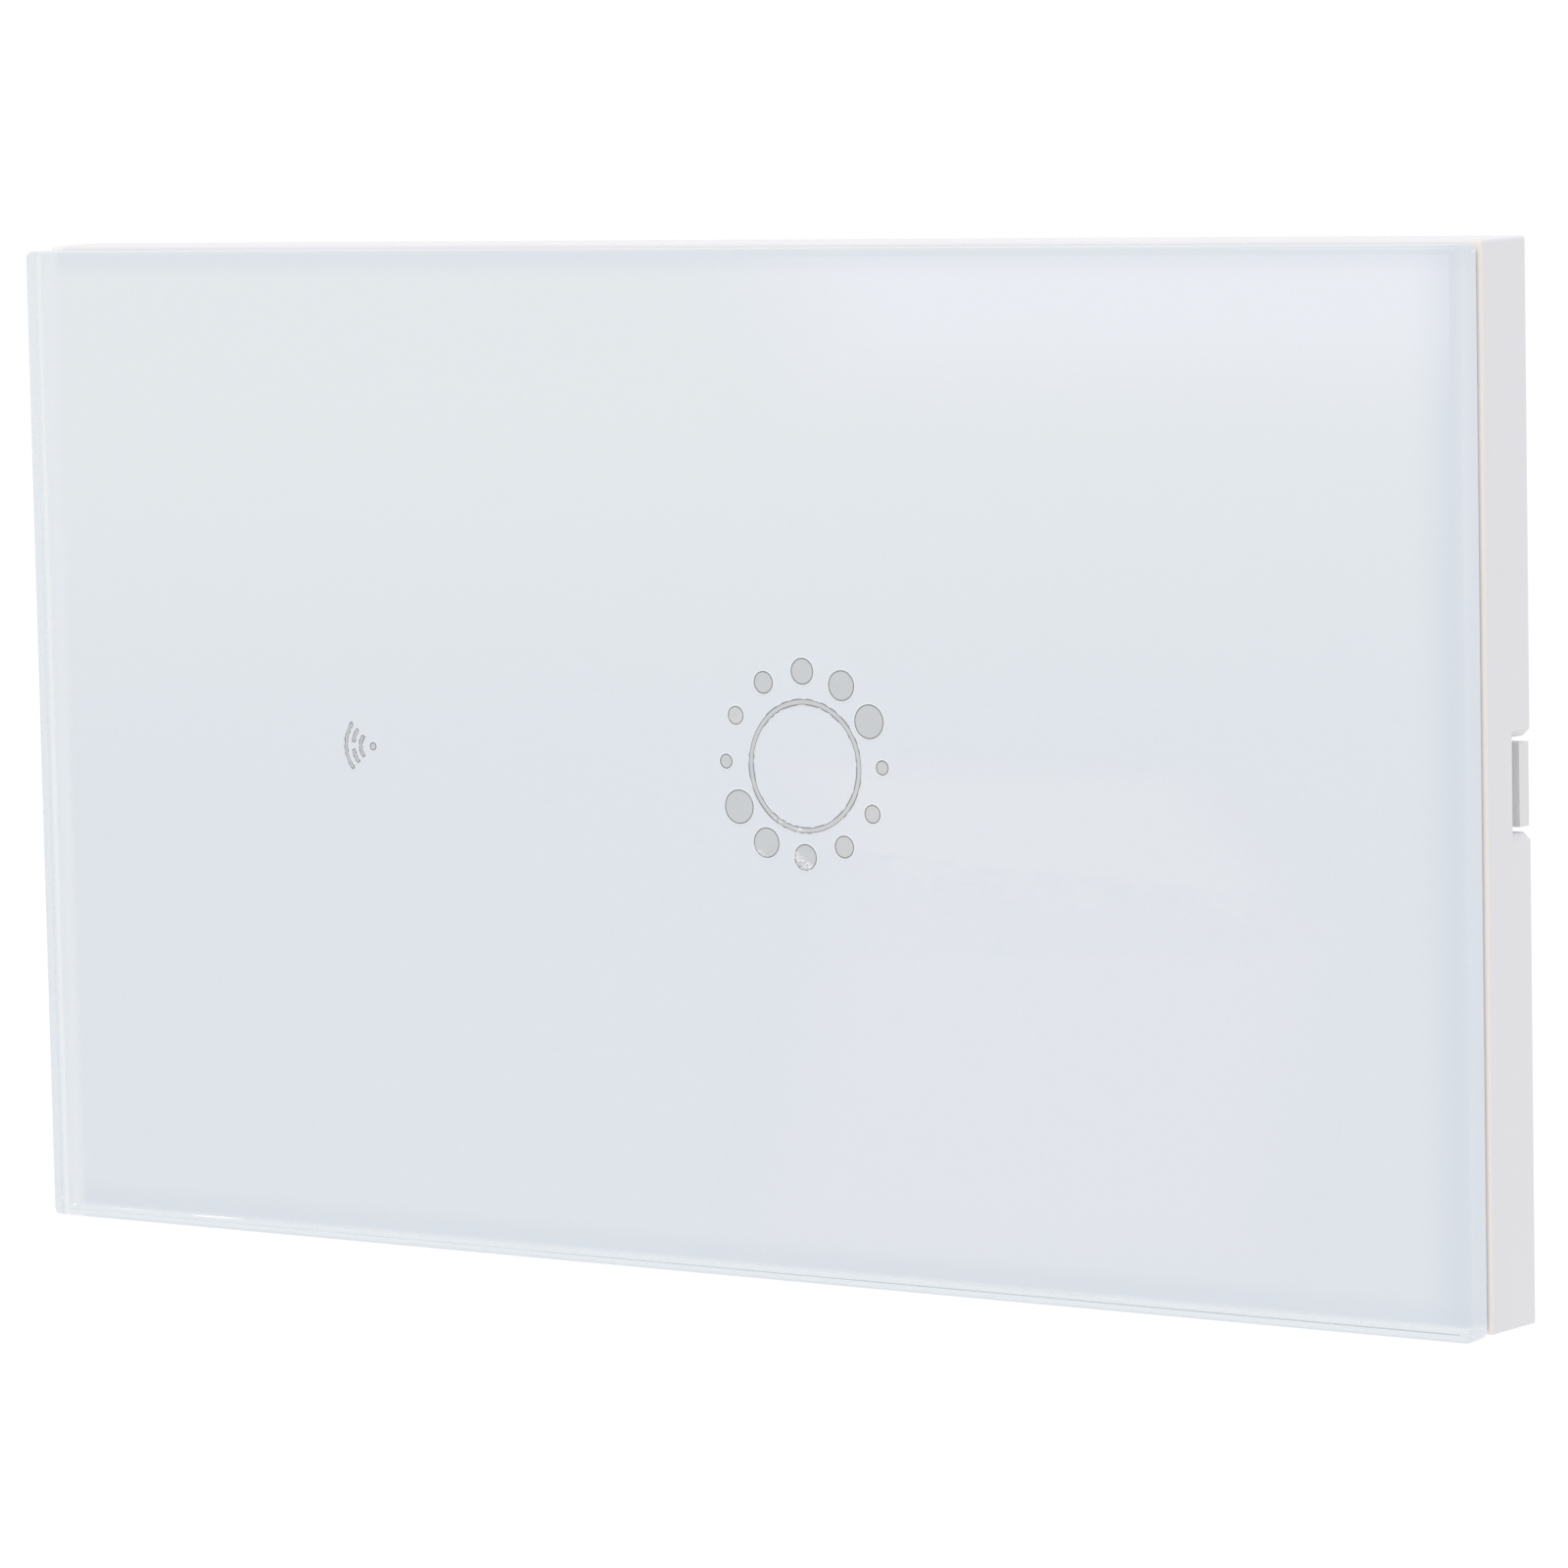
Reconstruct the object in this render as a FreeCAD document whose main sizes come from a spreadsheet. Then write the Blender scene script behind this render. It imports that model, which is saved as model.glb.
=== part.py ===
import FreeCAD, Part
import math
import os
import re
import Sketcher
from FreeCAD import Rotation, Vector

# A wireless touch wall switch with a glass front, lying landscape as it is pictured.
# X runs along the long side, Z up and Y into the wall. The origin is the centre of the
# mounting plane, so what stands in the room has negative Y and what fills the wall box
# has positive Y. Distances out of the wall are called heights below.

doc = FreeCAD.newDocument("touch_switch")
sheet = doc.addObject("Spreadsheet::Sheet", "sizes")

SIZES = {
    # glass plate and what is printed and stuck behind it
    "glass_length": 120.0,
    "glass_height": 72.0,
    "glass_thick": 3.0,
    "glass_corner": 0.8,
    "front_arris": 0.6,
    "rear_arris": 0.3,
    "glass_low_shift": 0.2,
    "print_thick": 0.1,
    "mark_thick": 0.05,
    "print_margin": 0.35,
    "adhesive_thick": 0.15,
    "adhesive_margin": 0.9,
    # ring of graduated dots and the fan of arcs
    "ring_x": 7.31,
    "ring_z": 0.0,
    "ring_aside": 0.09,
    "ring_drop": 0.12,
    "ring_radius": 4.72,
    "ring_band": 0.47,
    "dot_circle": 6.49,
    "dot_reach": 7.6,
    "dot_smallest": 0.6,
    "dot_growth": 0.137,
    "fan_x": 30.03,
    "fan_z": -0.16,
    "fan_dot": 0.38,
    "fan_first": 1.12,
    "fan_pitch": 0.66,
    "fan_stroke": 0.36,
    "fan_spread": 112.0,
    # white front frame
    "wall_gap": 0.3,
    "frame_depth": 5.7,
    "frame_plate": 1.6,
    "frame_wall": 1.8,
    "frame_lip": 0.05,
    "frame_flare": 0.1,
    "frame_edge": 0.25,
    "notch_length": 6.4,
    "notch_depth": 2.4,
    "notch_round": 0.5,
    "hook_inset_x": 22.0,
    "hook_inset_z": 8.0,
    "hook_width": 6.0,
    "hook_thick": 1.3,
    "hook_end": 0.25,
    "barb_height": 1.1,
    "barb_reach": 0.45,
    "rib_thick": 0.9,
    "rib_height": 0.8,
    "rib_inset": 10.0,
    "rib_short": 14.0,
    # light diffusers held in the frame
    "ring_diffuser_side": 17.0,
    "fan_diffuser_side": 6.8,
    "fan_diffuser_x": 31.0,
    "spring_hole": 3.6,
    "diffuser_fit": 0.1,
    # base plate that is screwed to the wall box
    "base_fit": 0.3,
    "base_thick": 1.6,
    "base_corner": 2.0,
    "rim_thick": 1.2,
    "rim_height": 1.8,
    "tab_thick": 1.3,
    "tab_setback": 0.25,
    "tab_fit": 0.4,
    "box_screw_spacing": 83.3,
    "box_screw_slot": 9.0,
    "box_screw_hole": 2.0,
    "hook_window_fit": 0.3,
    "board_boss": 0.4,
    "board_boss_width": 5.2,
    # rear housing
    "housing_length": 64.0,
    "housing_height": 44.0,
    "housing_depth": 25.0,
    "housing_wall": 1.8,
    "housing_corner": 3.0,
    "post_inset": 3.0,
    "post_width": 5.2,
    "post_drop": 8.0,
    "rib_root": 0.45,
    "ledge_x": 13.9,
    "ledge_width": 1.8,
    "ledge_reach": 1.6,
    "wire_hole": 1.9,
    "window_margin": 0.6,
    # printed circuit boards
    "control_left": 35.5,
    "control_right": 31.5,
    "control_height": 48.0,
    "control_thick": 1.0,
    "control_hole_inset": 3.2,
    "power_drop": 5.0,
    "power_thick": 1.6,
    "power_fit": 0.4,
    "power_notch": 6.2,
    # screws
    "board_screw": 0.75,
    "board_screw_head": 1.8,
    "board_screw_head_height": 1.0,
    "housing_screw": 1.2,
    "housing_screw_head": 2.3,
    "housing_screw_head_height": 1.5,
    "housing_screw_sink": 0.9,
    "screw_bite": 6.0,
    "drive_width": 0.5,
    "drive_depth": 0.6,
    "thread_fit": 0.05,
    "hole_fit": 0.3,
    # terminals
    "terminal_pitch": 8.8,
    "block_length": 14.0,
    "block_height": 26.4,
    "block_wall": 1.4,
    "block_gap": 0.3,
    "cage_length": 6.6,
    "cage_wall": 1.2,
    "cage_side": 1.0,
    "cage_width": 6.4,
    "cage_depth": 5.5,
    "cage_fit": 0.2,
    "cage_travel": 2.4,
    "cage_slack": 0.8,
    "cage_drop": 5.2,
    "busbar_thick": 1.0,
    "busbar_width": 4.0,
    "busbar_foot": 2.6,
    "terminal_screw": 1.5,
    "terminal_screw_head": 2.5,
    "terminal_screw_head_height": 1.3,
    "screw_run_fit": 0.06,
    "screw_tip_gap": 0.3,
    "head_fit": 0.3,
    # touch spring, lamps and chips on the control board
    "spring_radius": 2.4,
    "spring_wire": 0.2,
    "spring_pitch": 0.7,
    "spring_gap": 0.3,
    "lamp_length": 1.6,
    "lamp_width": 0.8,
    "lamp_height": 0.6,
    "touch_chip_length": 9.9,
    "touch_chip_width": 3.9,
    "touch_chip_height": 1.0,
    "touch_chip_x": 13.0,
    "touch_chip_z": 14.0,
    "chip_leg_width": 0.4,
    "chip_leg_reach": 1.0,
    "chip_leg_height": 0.3,
    "chip_leg_pitch": 1.27,
    "logic_chip_side": 5.0,
    "logic_chip_height": 0.9,
    "logic_chip_x": 15.0,
    "logic_chip_z": 8.0,
    "chip_part_length": 1.6,
    "chip_part_width": 0.8,
    "chip_part_height": 0.5,
    "chip_part_pitch": 3.2,
    "chip_part_z": 17.5,
    # radio module and board connector
    "radio_length": 17.0,
    "radio_width": 10.2,
    "radio_thick": 0.8,
    "radio_x": 15.0,
    "radio_shield_length": 11.4,
    "radio_shield_width": 9.0,
    "radio_shield_height": 1.7,
    "radio_window": 0.8,
    "header_x": 8.0,
    "header_z": 15.0,
    "pin_pitch": 2.54,
    "pin_width": 0.64,
    "pin_reach": 6.0,
    "header_width": 2.5,
    "header_thick": 1.9,
    "socket_height": 4.6,
    "socket_fit": 0.13,
    "header_window": 0.7,
    # parts on the power board
    "relay_length": 18.8,
    "relay_width": 15.4,
    "relay_height": 15.6,
    "relay_gap": 0.6,
    "relay_z_gap": 0.9,
    "relay_bevel": 0.6,
    "core_length": 13.0,
    "core_width": 6.0,
    "core_height": 11.0,
    "core_leg": 2.0,
    "coil_fit": 0.1,
    "transformer_gap": 0.7,
    "transformer_z": 8.0,
    "can_radius": 4.0,
    "can_height": 13.0,
    "can_gap": 0.9,
    "can_pitch": 9.4,
    "can_z_gap": 0.7,
    "film_length": 13.0,
    "film_width": 5.0,
    "film_height": 10.0,
    "film_gap": 2.4,
    "film_z": 9.7,
    "surge_radius": 4.4,
    "surge_thick": 3.2,
    "surge_gap": 0.3,
    "surge_z": 9.2,
    "choke_radius": 3.2,
    "choke_height": 7.0,
    "choke_gap": 0.9,
    "choke_z": 5.2,
    "fuse_radius": 1.6,
    "fuse_length": 8.0,
    "fuse_gap": 0.8,
    "fuse_z": 9.8,
    "bridge_length": 5.0,
    "bridge_width": 4.2,
    "bridge_height": 2.4,
    "bridge_gap": 12.0,
    "bridge_z": 0.1,
}

for row, (alias, number) in enumerate(SIZES.items(), 1):
    sheet.set(f"A{row}", alias)
    sheet.set(f"B{row}", str(number))
    sheet.setAlias(f"B{row}", alias)
doc.recompute()

# Levels and half sizes that several pieces share, as expressions on the sizes.
FRAME_FRONT = "(wall_gap + frame_depth)"
FRAME_BACK = "(wall_gap + frame_depth - frame_plate)"
ADHESIVE_FRONT = f"({FRAME_FRONT} + adhesive_thick)"
PRINT_FRONT = f"({ADHESIVE_FRONT} + print_thick)"
MARK_FRONT = f"({PRINT_FRONT} + mark_thick)"
GLASS_FRONT = f"({MARK_FRONT} + glass_thick)"
CONTROL_BACK = "(base_thick + board_boss)"
CONTROL_FRONT = f"({CONTROL_BACK} + control_thick)"
POWER_FRONT = "(-power_drop)"
POWER_BACK = "(-power_drop - power_thick)"
HOUSING_FLOOR = "(housing_wall - housing_depth)"
FRAME_HALF_X = "(glass_length / 2 + frame_lip)"
FRAME_HALF_Z = "(glass_height / 2 + frame_lip)"
HOOK_X = f"({FRAME_HALF_X} - hook_inset_x)"
HOOK_Z = f"({FRAME_HALF_Z} - hook_inset_z)"
BASE_HALF_X = f"({FRAME_HALF_X} - frame_wall - base_fit)"
BASE_HALF_Z = f"({FRAME_HALF_Z} - frame_wall - base_fit)"
INNER_HALF_X = "(housing_length / 2 - housing_wall)"
INNER_HALF_Z = "(housing_height / 2 - housing_wall)"
POST_X = f"({INNER_HALF_X} - post_inset)"
POST_Z = f"({INNER_HALF_Z} - post_inset)"
BLOCK_RIGHT = f"({INNER_HALF_X} - block_gap)"
BLOCK_LEFT = f"({BLOCK_RIGHT} - block_length)"
BLOCK_BACK = f"({HOUSING_FLOOR} + block_gap)"
NECK_LEFT = f"({BLOCK_RIGHT} - terminal_screw_head_height - cage_fit - block_wall)"
CAVITY_LEFT = f"({NECK_LEFT} - cage_length - cage_travel - cage_slack)"
CAGE_LEFT = f"({CAVITY_LEFT} + cage_fit)"
CAGE_MIDDLE = f"({POWER_BACK} - cage_drop - cage_depth / 2)"
BUSBAR_RIGHT = f"({CAGE_LEFT} + cage_length - cage_wall - cage_fit)"
WIRE_X = f"(({CAGE_LEFT} + cage_wall + {BUSBAR_RIGHT} - busbar_thick) / 2)"
SCREW_TIP = f"({BUSBAR_RIGHT} + screw_tip_gap)"
RELAY_X = f"({BLOCK_LEFT} - relay_gap - relay_length / 2)"
RELAY_Z = f"(ledge_reach + relay_z_gap + relay_width / 2 - {INNER_HALF_Z})"
TRANSFORMER_X = f"({BLOCK_LEFT} - transformer_gap - core_length / 2)"
CAN_X = f"(can_gap + can_radius - {INNER_HALF_X})"
CAN_Z = f"({INNER_HALF_Z} - ledge_reach - can_z_gap - can_radius)"
FUSE_X = f"(fuse_gap + fuse_radius - {INNER_HALF_X})"
FILM_X = f"({FUSE_X} + fuse_radius + film_gap + film_width / 2)"
SURGE_X = f"({FILM_X} + film_width / 2 + surge_gap + surge_thick / 2)"
CHOKE_X = f"(choke_gap + choke_radius - {INNER_HALF_X})"
BRIDGE_X = f"(bridge_gap + bridge_length / 2 - {INNER_HALF_X})"
TERMINAL_ROWS = (-1, 0, 1)
CORNERS = ((-1, -1), (1, -1), (1, 1), (-1, 1))
POST_CORNERS = ((-1, -1), (1, 1))
BOARD_SCREW_CORNERS = ((-1, 1), (1, -1))

# How many there are of what repeats.
DOTS = 12
ARCS = 3
CHIP_LEGS = 8
SMALL_PARTS = 8
PINS = 5
CANS = 2
SPRING_RUNS_A_TURN = 10
WIRE_SIDES = 6

# How far a point may lie from the place where an edge is looked for.
NEAR = 1e-3
CORNER_REACH = 0.6


def bound(text):
    """The same expression with each size's name led to the sheet."""
    def led(word):
        return "sizes." + word[0] if word[0] in SIZES else word[0]

    return re.sub(r"[a-z][a-z_]*", led, str(text))


def value(text):
    """The number that an expression gives now."""
    return float(sheet.evalExpression(bound(text)))


def bind(target, **expressions):
    """Set properties of an object from expressions on the sizes."""
    for name, text in expressions.items():
        target.setExpression(name.replace("_", "."), bound(text))


def place(target, x="0", y="0", z="0"):
    """Place an object by three expressions."""
    target.setExpression("Placement.Base.x", bound(x))
    target.setExpression("Placement.Base.y", bound(y))
    target.setExpression("Placement.Base.z", bound(z))


def piece(label):
    """An empty body for one moulded, cut or turned piece."""
    body = doc.addObject("PartDesign::Body", label)
    body.Label = label
    return body


def sketch_on(body, name, role, offset):
    """A sketch on one of the body's own planes, moved along its normal by an expression."""
    sketch = body.newObject("Sketcher::SketchObject", name)
    plane = next(item for item in body.Origin.OriginFeatures if item.Role == role)
    sketch.AttachmentSupport = [(plane, "")]
    sketch.MapMode = "FlatFace"
    sketch.setExpression("AttachmentOffset.Base.z", bound(offset))
    return sketch


def fix_point(sketch, geometry, end, x, y):
    """Tie a sketch point to two expressions."""
    for kind, text in (("DistanceX", x), ("DistanceY", y)):
        rule = sketch.addConstraint(Sketcher.Constraint(kind, -1, 1, geometry, end, value(text)))
        sketch.setExpression(f"Constraints[{rule}]", bound(text))


def outline(sketch, points):
    """A closed outline with straight sides through points given as pairs of expressions."""
    spots = [Vector(value(x), value(y), 0) for x, y in points]
    following = spots[1:] + spots[:1]
    lines = sketch.addGeometry([Part.LineSegment(a, b) for a, b in zip(spots, following)], False)
    for line, after, (x, y) in zip(lines, lines[1:] + lines[:1], points):
        sketch.addConstraint(Sketcher.Constraint("Coincident", line, 2, after, 1))
        fix_point(sketch, line, 1, x, y)


def rectangle(sketch, x, y, half_x, half_y):
    """A rectangle about a centre."""
    left, right = f"({x}) - ({half_x})", f"({x}) + ({half_x})"
    low, high = f"({y}) - ({half_y})", f"({y}) + ({half_y})"
    outline(sketch, [(left, low), (right, low), (right, high), (left, high)])


def circle(sketch, x, y, radius):
    """A circle about a centre."""
    spot = Vector(value(x), value(y), 0)
    ring = sketch.addGeometry(Part.Circle(spot, Vector(0, 0, 1), value(radius)), False)
    fix_point(sketch, ring, 3, x, y)
    rule = sketch.addConstraint(Sketcher.Constraint("Radius", ring, value(radius)))
    sketch.setExpression(f"Constraints[{rule}]", bound(radius))


def slot(sketch, x, y, length, radius):
    """A slot with round ends along the sketch's first axis."""
    run = value(length) / 2 - value(radius)
    middle, r = Vector(value(x), value(y), 0), value(radius)
    out, up = Vector(run, 0, 0), Vector(0, r, 0)
    normal, quarter = Vector(0, 0, 1), math.pi / 2
    left = sketch.addGeometry(Part.ArcOfCircle(Part.Circle(middle - out, normal, r), quarter, 3 * quarter))
    low = sketch.addGeometry(Part.LineSegment(middle - out - up, middle + out - up))
    right = sketch.addGeometry(Part.ArcOfCircle(Part.Circle(middle + out, normal, r), -quarter, quarter))
    high = sketch.addGeometry(Part.LineSegment(middle + out + up, middle - out + up))
    for first, second in ((left, low), (low, right), (right, high), (high, left)):
        sketch.addConstraint(Sketcher.Constraint("Tangent", first, 2, second, 1))
    sketch.addConstraint(Sketcher.Constraint("Equal", left, right))
    fix_point(sketch, left, 3, f"({x}) - ({length}) / 2 + ({radius})", y)
    fix_point(sketch, right, 3, f"({x}) + ({length}) / 2 - ({radius})", y)
    rule = sketch.addConstraint(Sketcher.Constraint("Radius", left, r))
    sketch.setExpression(f"Constraints[{rule}]", bound(radius))


def volume(body):
    """A body's volume, or nothing before its first feature."""
    return 0.0 if body.Shape.isNull() else body.Shape.Volume


def finish(body, feature, grows):
    """Recompute and make sure that the feature added or removed material."""
    before = volume(body)
    doc.recompute()
    gain = volume(body) - before
    if (gain <= 0) if grows else (gain >= 0):
        raise ValueError(f"{body.Label}: {feature.Name} changes nothing")


def pad(body, name, low, high, draw, role="XZ_Plane"):
    """Material between two heights out of the wall, or between two X on the YZ plane."""
    sketch = sketch_on(body, name + "_sketch", role, low)
    draw(sketch)
    feature = body.newObject("PartDesign::Pad", name)
    feature.Profile = sketch
    feature.setExpression("Length", bound(f"({high}) - ({low})"))
    finish(body, feature, True)


def pocket(body, name, low, high, draw, role="XZ_Plane"):
    """A recess or hole between two heights out of the wall, or between two X."""
    sketch = sketch_on(body, name + "_sketch", role, high)
    draw(sketch)
    feature = body.newObject("PartDesign::Pocket", name)
    feature.Profile = sketch
    feature.setExpression("Length", bound(f"({high}) - ({low})"))
    finish(body, feature, False)


def soften(body, kind, name, size, chosen):
    """A fillet or chamfer on the edges that the test picks."""
    edges = [f"Edge{n}" for n, edge in enumerate(body.Shape.Edges, 1) if chosen(edge)]
    last = body.Tip
    feature = body.newObject(f"PartDesign::{kind}", name)
    feature.Base = (last, edges)
    feature.setExpression("Radius" if kind == "Fillet" else "Size", bound(size))
    doc.recompute()


def along_y(edge):
    """True for a straight edge that runs into the wall."""
    run = edge.lastVertex().Point - edge.firstVertex().Point
    return run.Length > 0 and abs(run.y) > 0.99 * run.Length


def flat_at(edge, height):
    """True for an edge that lies at one height out of the wall."""
    level = -value(height)
    return all(abs(vertex.Y - level) < NEAR for vertex in edge.Vertexes)


def at_outer_corner(edge, half_x, half_z):
    """True for an edge at a corner of a rectangle about the origin."""
    middle = edge.CenterOfMass
    beside_x, beside_z = abs(middle.x) - value(half_x), abs(middle.z) - value(half_z)
    return max(abs(beside_x), abs(beside_z)) < CORNER_REACH


def box(name, x, height, z):
    """A block between pairs of X, heights out of the wall and Z."""
    block = doc.addObject("Part::Box", name)
    bind(block, Length=f"({x[1]}) - ({x[0]})", Width=f"({height[1]}) - ({height[0]})")
    bind(block, Height=f"({z[1]}) - ({z[0]})")
    place(block, x[0], f"-({height[1]})", z[0])
    return block


def about(middle, size):
    """A pair of expressions, half a size to each side of a middle."""
    return f"({middle}) - ({size}) / 2", f"({middle}) + ({size}) / 2"


def rod(name, x, z, radius, low, high):
    """A cylinder that stands out of the wall between two heights."""
    cylinder = doc.addObject("Part::Cylinder", name)
    bind(cylinder, Radius=radius, Height=f"({high}) - ({low})")
    cylinder.Placement.Rotation = Rotation(Vector(1, 0, 0), 90)
    place(cylinder, x, f"-({low})", z)
    return cylinder


def lying_rod(name, x, height, z, radius):
    """A cylinder along Z between a pair of Z."""
    cylinder = doc.addObject("Part::Cylinder", name)
    bind(cylinder, Radius=radius, Height=f"({z[1]}) - ({z[0]})")
    place(cylinder, x, f"-({height})", z[0])
    return cylinder


def joined(name, parts):
    """One solid from parts that touch or overlap."""
    union = doc.addObject("Part::MultiFuse", name)
    union.Shapes = parts
    return union


def grouped(name, parts):
    """Separate solids that share a node."""
    group = doc.addObject("Part::Compound", name)
    group.Links = parts
    return group


def minus(name, base, tool):
    """The base without the tool."""
    cut = doc.addObject("Part::Cut", name)
    cut.Base = base
    cut.Tool = tool
    return cut


def glass_panel():
    """Float glass with ground and polished edges."""
    body = piece("glass_panel")
    pad(body, "plate", MARK_FRONT, GLASS_FRONT, lambda sketch: rectangle(
        sketch, "0", "-glass_low_shift", "glass_length / 2", "glass_height / 2"))
    soften(body, "Fillet", "corners", "glass_corner", along_y)
    soften(body, "Chamfer", "front_edge", "front_arris", lambda edge: flat_at(edge, GLASS_FRONT))
    soften(body, "Chamfer", "rear_edge", "rear_arris", lambda edge: flat_at(edge, MARK_FRONT))
    return body


def ring_mark():
    """The thin ring round the touch spot, printed a little off the middle of its dots."""
    x, z = "ring_x + ring_aside", "ring_z - ring_drop"
    outer = rod("ring_outer", x, z, "ring_radius", PRINT_FRONT, MARK_FRONT)
    inner = rod("ring_inner", x, z, "ring_radius - ring_band", PRINT_FRONT, MARK_FRONT)
    return minus("ring_mark", outer, inner)


def dot_radius(step):
    """Six sizes of dot, twice over."""
    return f"(dot_smallest + {step % (DOTS // 2)} * dot_growth)"


def dot_place(step):
    """Where a dot lies, counted clockwise from nine o'clock: on its circle, or inside it if it is large."""
    turn = 180 - 360 * step / DOTS
    distance = f"min(dot_circle; dot_reach - {dot_radius(step)})"
    return f"ring_x + {distance} * cos({turn} deg)", f"ring_z + {distance} * sin({turn} deg)"


def dot_marks():
    """Twelve dots in two runs of six that each grow clockwise, from nine and from three o'clock."""
    dots = []
    for step in range(DOTS):
        x, z = dot_place(step)
        dots.append(rod(f"dot_{step + 1}", x, z, dot_radius(step), PRINT_FRONT, MARK_FRONT))
    return dots


def fan_marks():
    """A dot and three arcs that open towards it, the plain sign for a radio link."""
    marks = [rod("fan_spot", "-fan_x", "fan_z", "fan_dot", PRINT_FRONT, MARK_FRONT)]
    for step in range(ARCS):
        middle = f"fan_first + {step} * fan_pitch"
        outer = rod(f"fan_outer_{step + 1}", "-fan_x", "fan_z", f"{middle} + fan_stroke / 2",
                    PRINT_FRONT, MARK_FRONT)
        bind(outer, Angle="fan_spread * 1 deg")
        outer.Placement.Rotation = Rotation(Vector(1, 0, 0), 90).multiply(
            Rotation(Vector(0, 0, 1), 180 - value("fan_spread") / 2))
        inner = rod(f"fan_inner_{step + 1}", "-fan_x", "fan_z", f"{middle} - fan_stroke / 2",
                    PRINT_FRONT, MARK_FRONT)
        marks.append(minus(f"fan_arc_{step + 1}", outer, inner))
    return marks


def behind_glass(name, margin, low, high):
    """A thin sheet as large as the glass less a margin all round."""
    return box(name, about("0", f"glass_length - 2 * {margin}"), (low, high),
               about("-glass_low_shift", f"glass_height - 2 * {margin}"))


def glass_layers():
    """The marks printed on the rear of the glass, the white coat over them and the clear glue film."""
    marks = grouped("printed_marks", [ring_mark()] + dot_marks() + fan_marks())
    coat = behind_glass("back_print", "print_margin", ADHESIVE_FRONT, PRINT_FRONT)
    film = behind_glass("adhesive_sheet", "adhesive_margin", FRAME_FRONT, ADHESIVE_FRONT)
    return [marks, coat, film]


def hook_profile(sketch, side):
    """A snap hook seen from the end, with its barb away from the middle."""
    near, far = f"{side} * ({HOOK_Z} - hook_thick / 2)", f"{side} * ({HOOK_Z} + hook_thick / 2)"
    tip = f"{side} * ({HOOK_Z} + hook_thick / 2 + barb_reach)"
    outline(sketch, [(f"-{FRAME_BACK}", near), (f"-{FRAME_BACK}", far), ("-barb_height", far),
                     ("-barb_height", tip), ("-hook_end", far), ("-hook_end", near)])


def front_frame():
    """The white moulded frame: a plate behind the glass with a wall that flares to the rear."""
    body = piece("front_frame")
    rear = sketch_on(body, "rear_outline", "XZ_Plane", "wall_gap")
    rectangle(rear, "0", "0", f"{FRAME_HALF_X} + frame_flare", f"{FRAME_HALF_Z} + frame_flare")
    front = sketch_on(body, "front_outline", "XZ_Plane", FRAME_FRONT)
    rectangle(front, "0", "0", FRAME_HALF_X, FRAME_HALF_Z)
    loft = body.newObject("PartDesign::AdditiveLoft", "flared_block")
    loft.Profile = rear
    loft.Sections = [front]
    loft.Ruled = True
    finish(body, loft, True)
    soften(body, "Fillet", "outer_edges", "frame_edge", lambda edge: not flat_at(edge, "wall_gap"))
    pocket(body, "hollow", "wall_gap", FRAME_BACK, lambda sketch: rectangle(
        sketch, "0", "0", f"{FRAME_HALF_X} - frame_wall", f"{FRAME_HALF_Z} - frame_wall"))
    pocket(body, "light_openings", FRAME_BACK, FRAME_FRONT, diffuser_openings)
    for number, side in enumerate((-1, 1), 1):
        for name, middle in (("left", f"-{HOOK_X}"), ("right", HOOK_X)):
            pad(body, f"{name}_hook_{number}", f"{middle} - hook_width / 2", f"{middle} + hook_width / 2",
                lambda sketch: hook_profile(sketch, side), "YZ_Plane")
        middle = f"{side} * ({FRAME_HALF_X} - rib_inset)"
        pad(body, f"rib_{number}", f"{FRAME_BACK} - rib_height", FRAME_BACK, lambda sketch: rectangle(
            sketch, middle, "0", "rib_thick / 2", f"{FRAME_HALF_Z} - rib_short"))
    outside = f"{FRAME_HALF_X} + frame_flare"
    half, top = "notch_length / 2", "-wall_gap - notch_depth"
    pocket(body, "pry_notch", f"{FRAME_HALF_X} - frame_wall", outside, lambda sketch: outline(sketch, [
        (top, f"-{half}"), ("0", f"-{half}"), ("0", half), (top, half)]), "YZ_Plane")
    soften(body, "Chamfer", "notch_ends", "notch_round", notch_end)
    return body


def notch_end(edge):
    """True for the two outer edges at the ends of the pry notch."""
    middle = edge.CenterOfMass
    run = edge.lastVertex().Point - edge.firstVertex().Point
    at_end = abs(abs(middle.z) - value("notch_length") / 2) < NEAR
    return at_end and middle.x > value(FRAME_HALF_X) and abs(run.y) > 0.9 * run.Length


def diffuser_openings(sketch):
    """The frame's square openings for the two diffusers, a little wider than they are."""
    for x, z, side in (("ring_x", "ring_z", "ring_diffuser_side"),
                       ("-fan_diffuser_x", "0", "fan_diffuser_side")):
        rectangle(sketch, x, z, f"{side} / 2 + diffuser_fit", f"{side} / 2 + diffuser_fit")


def diffusers():
    """Frosted plates stuck to the film in the frame's openings, the larger with a way for the spring."""
    ring = piece("ring_diffuser")
    pad(ring, "plate", FRAME_BACK, FRAME_FRONT, lambda sketch: rectangle(
        sketch, "ring_x", "ring_z", "ring_diffuser_side / 2", "ring_diffuser_side / 2"))
    pocket(ring, "spring_passage", FRAME_BACK, FRAME_FRONT, lambda sketch: circle(
        sketch, "ring_x", "ring_z", "spring_hole"))
    fan = box("fan_diffuser", about("-fan_diffuser_x", "fan_diffuser_side"), (FRAME_BACK, FRAME_FRONT),
              about("0", "fan_diffuser_side"))
    return [ring, fan]


def at_corners(sketch, half_x, half_z, draw, corners=CORNERS):
    """Draw the same thing at corners of a rectangle."""
    for side, level in corners:
        draw(sketch, f"{side} * {half_x}", f"{level} * {half_z}")


def at_posts(sketch, draw):
    """Draw the same thing on the two screw posts of the housing."""
    at_corners(sketch, POST_X, POST_Z, draw, POST_CORNERS)


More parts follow.
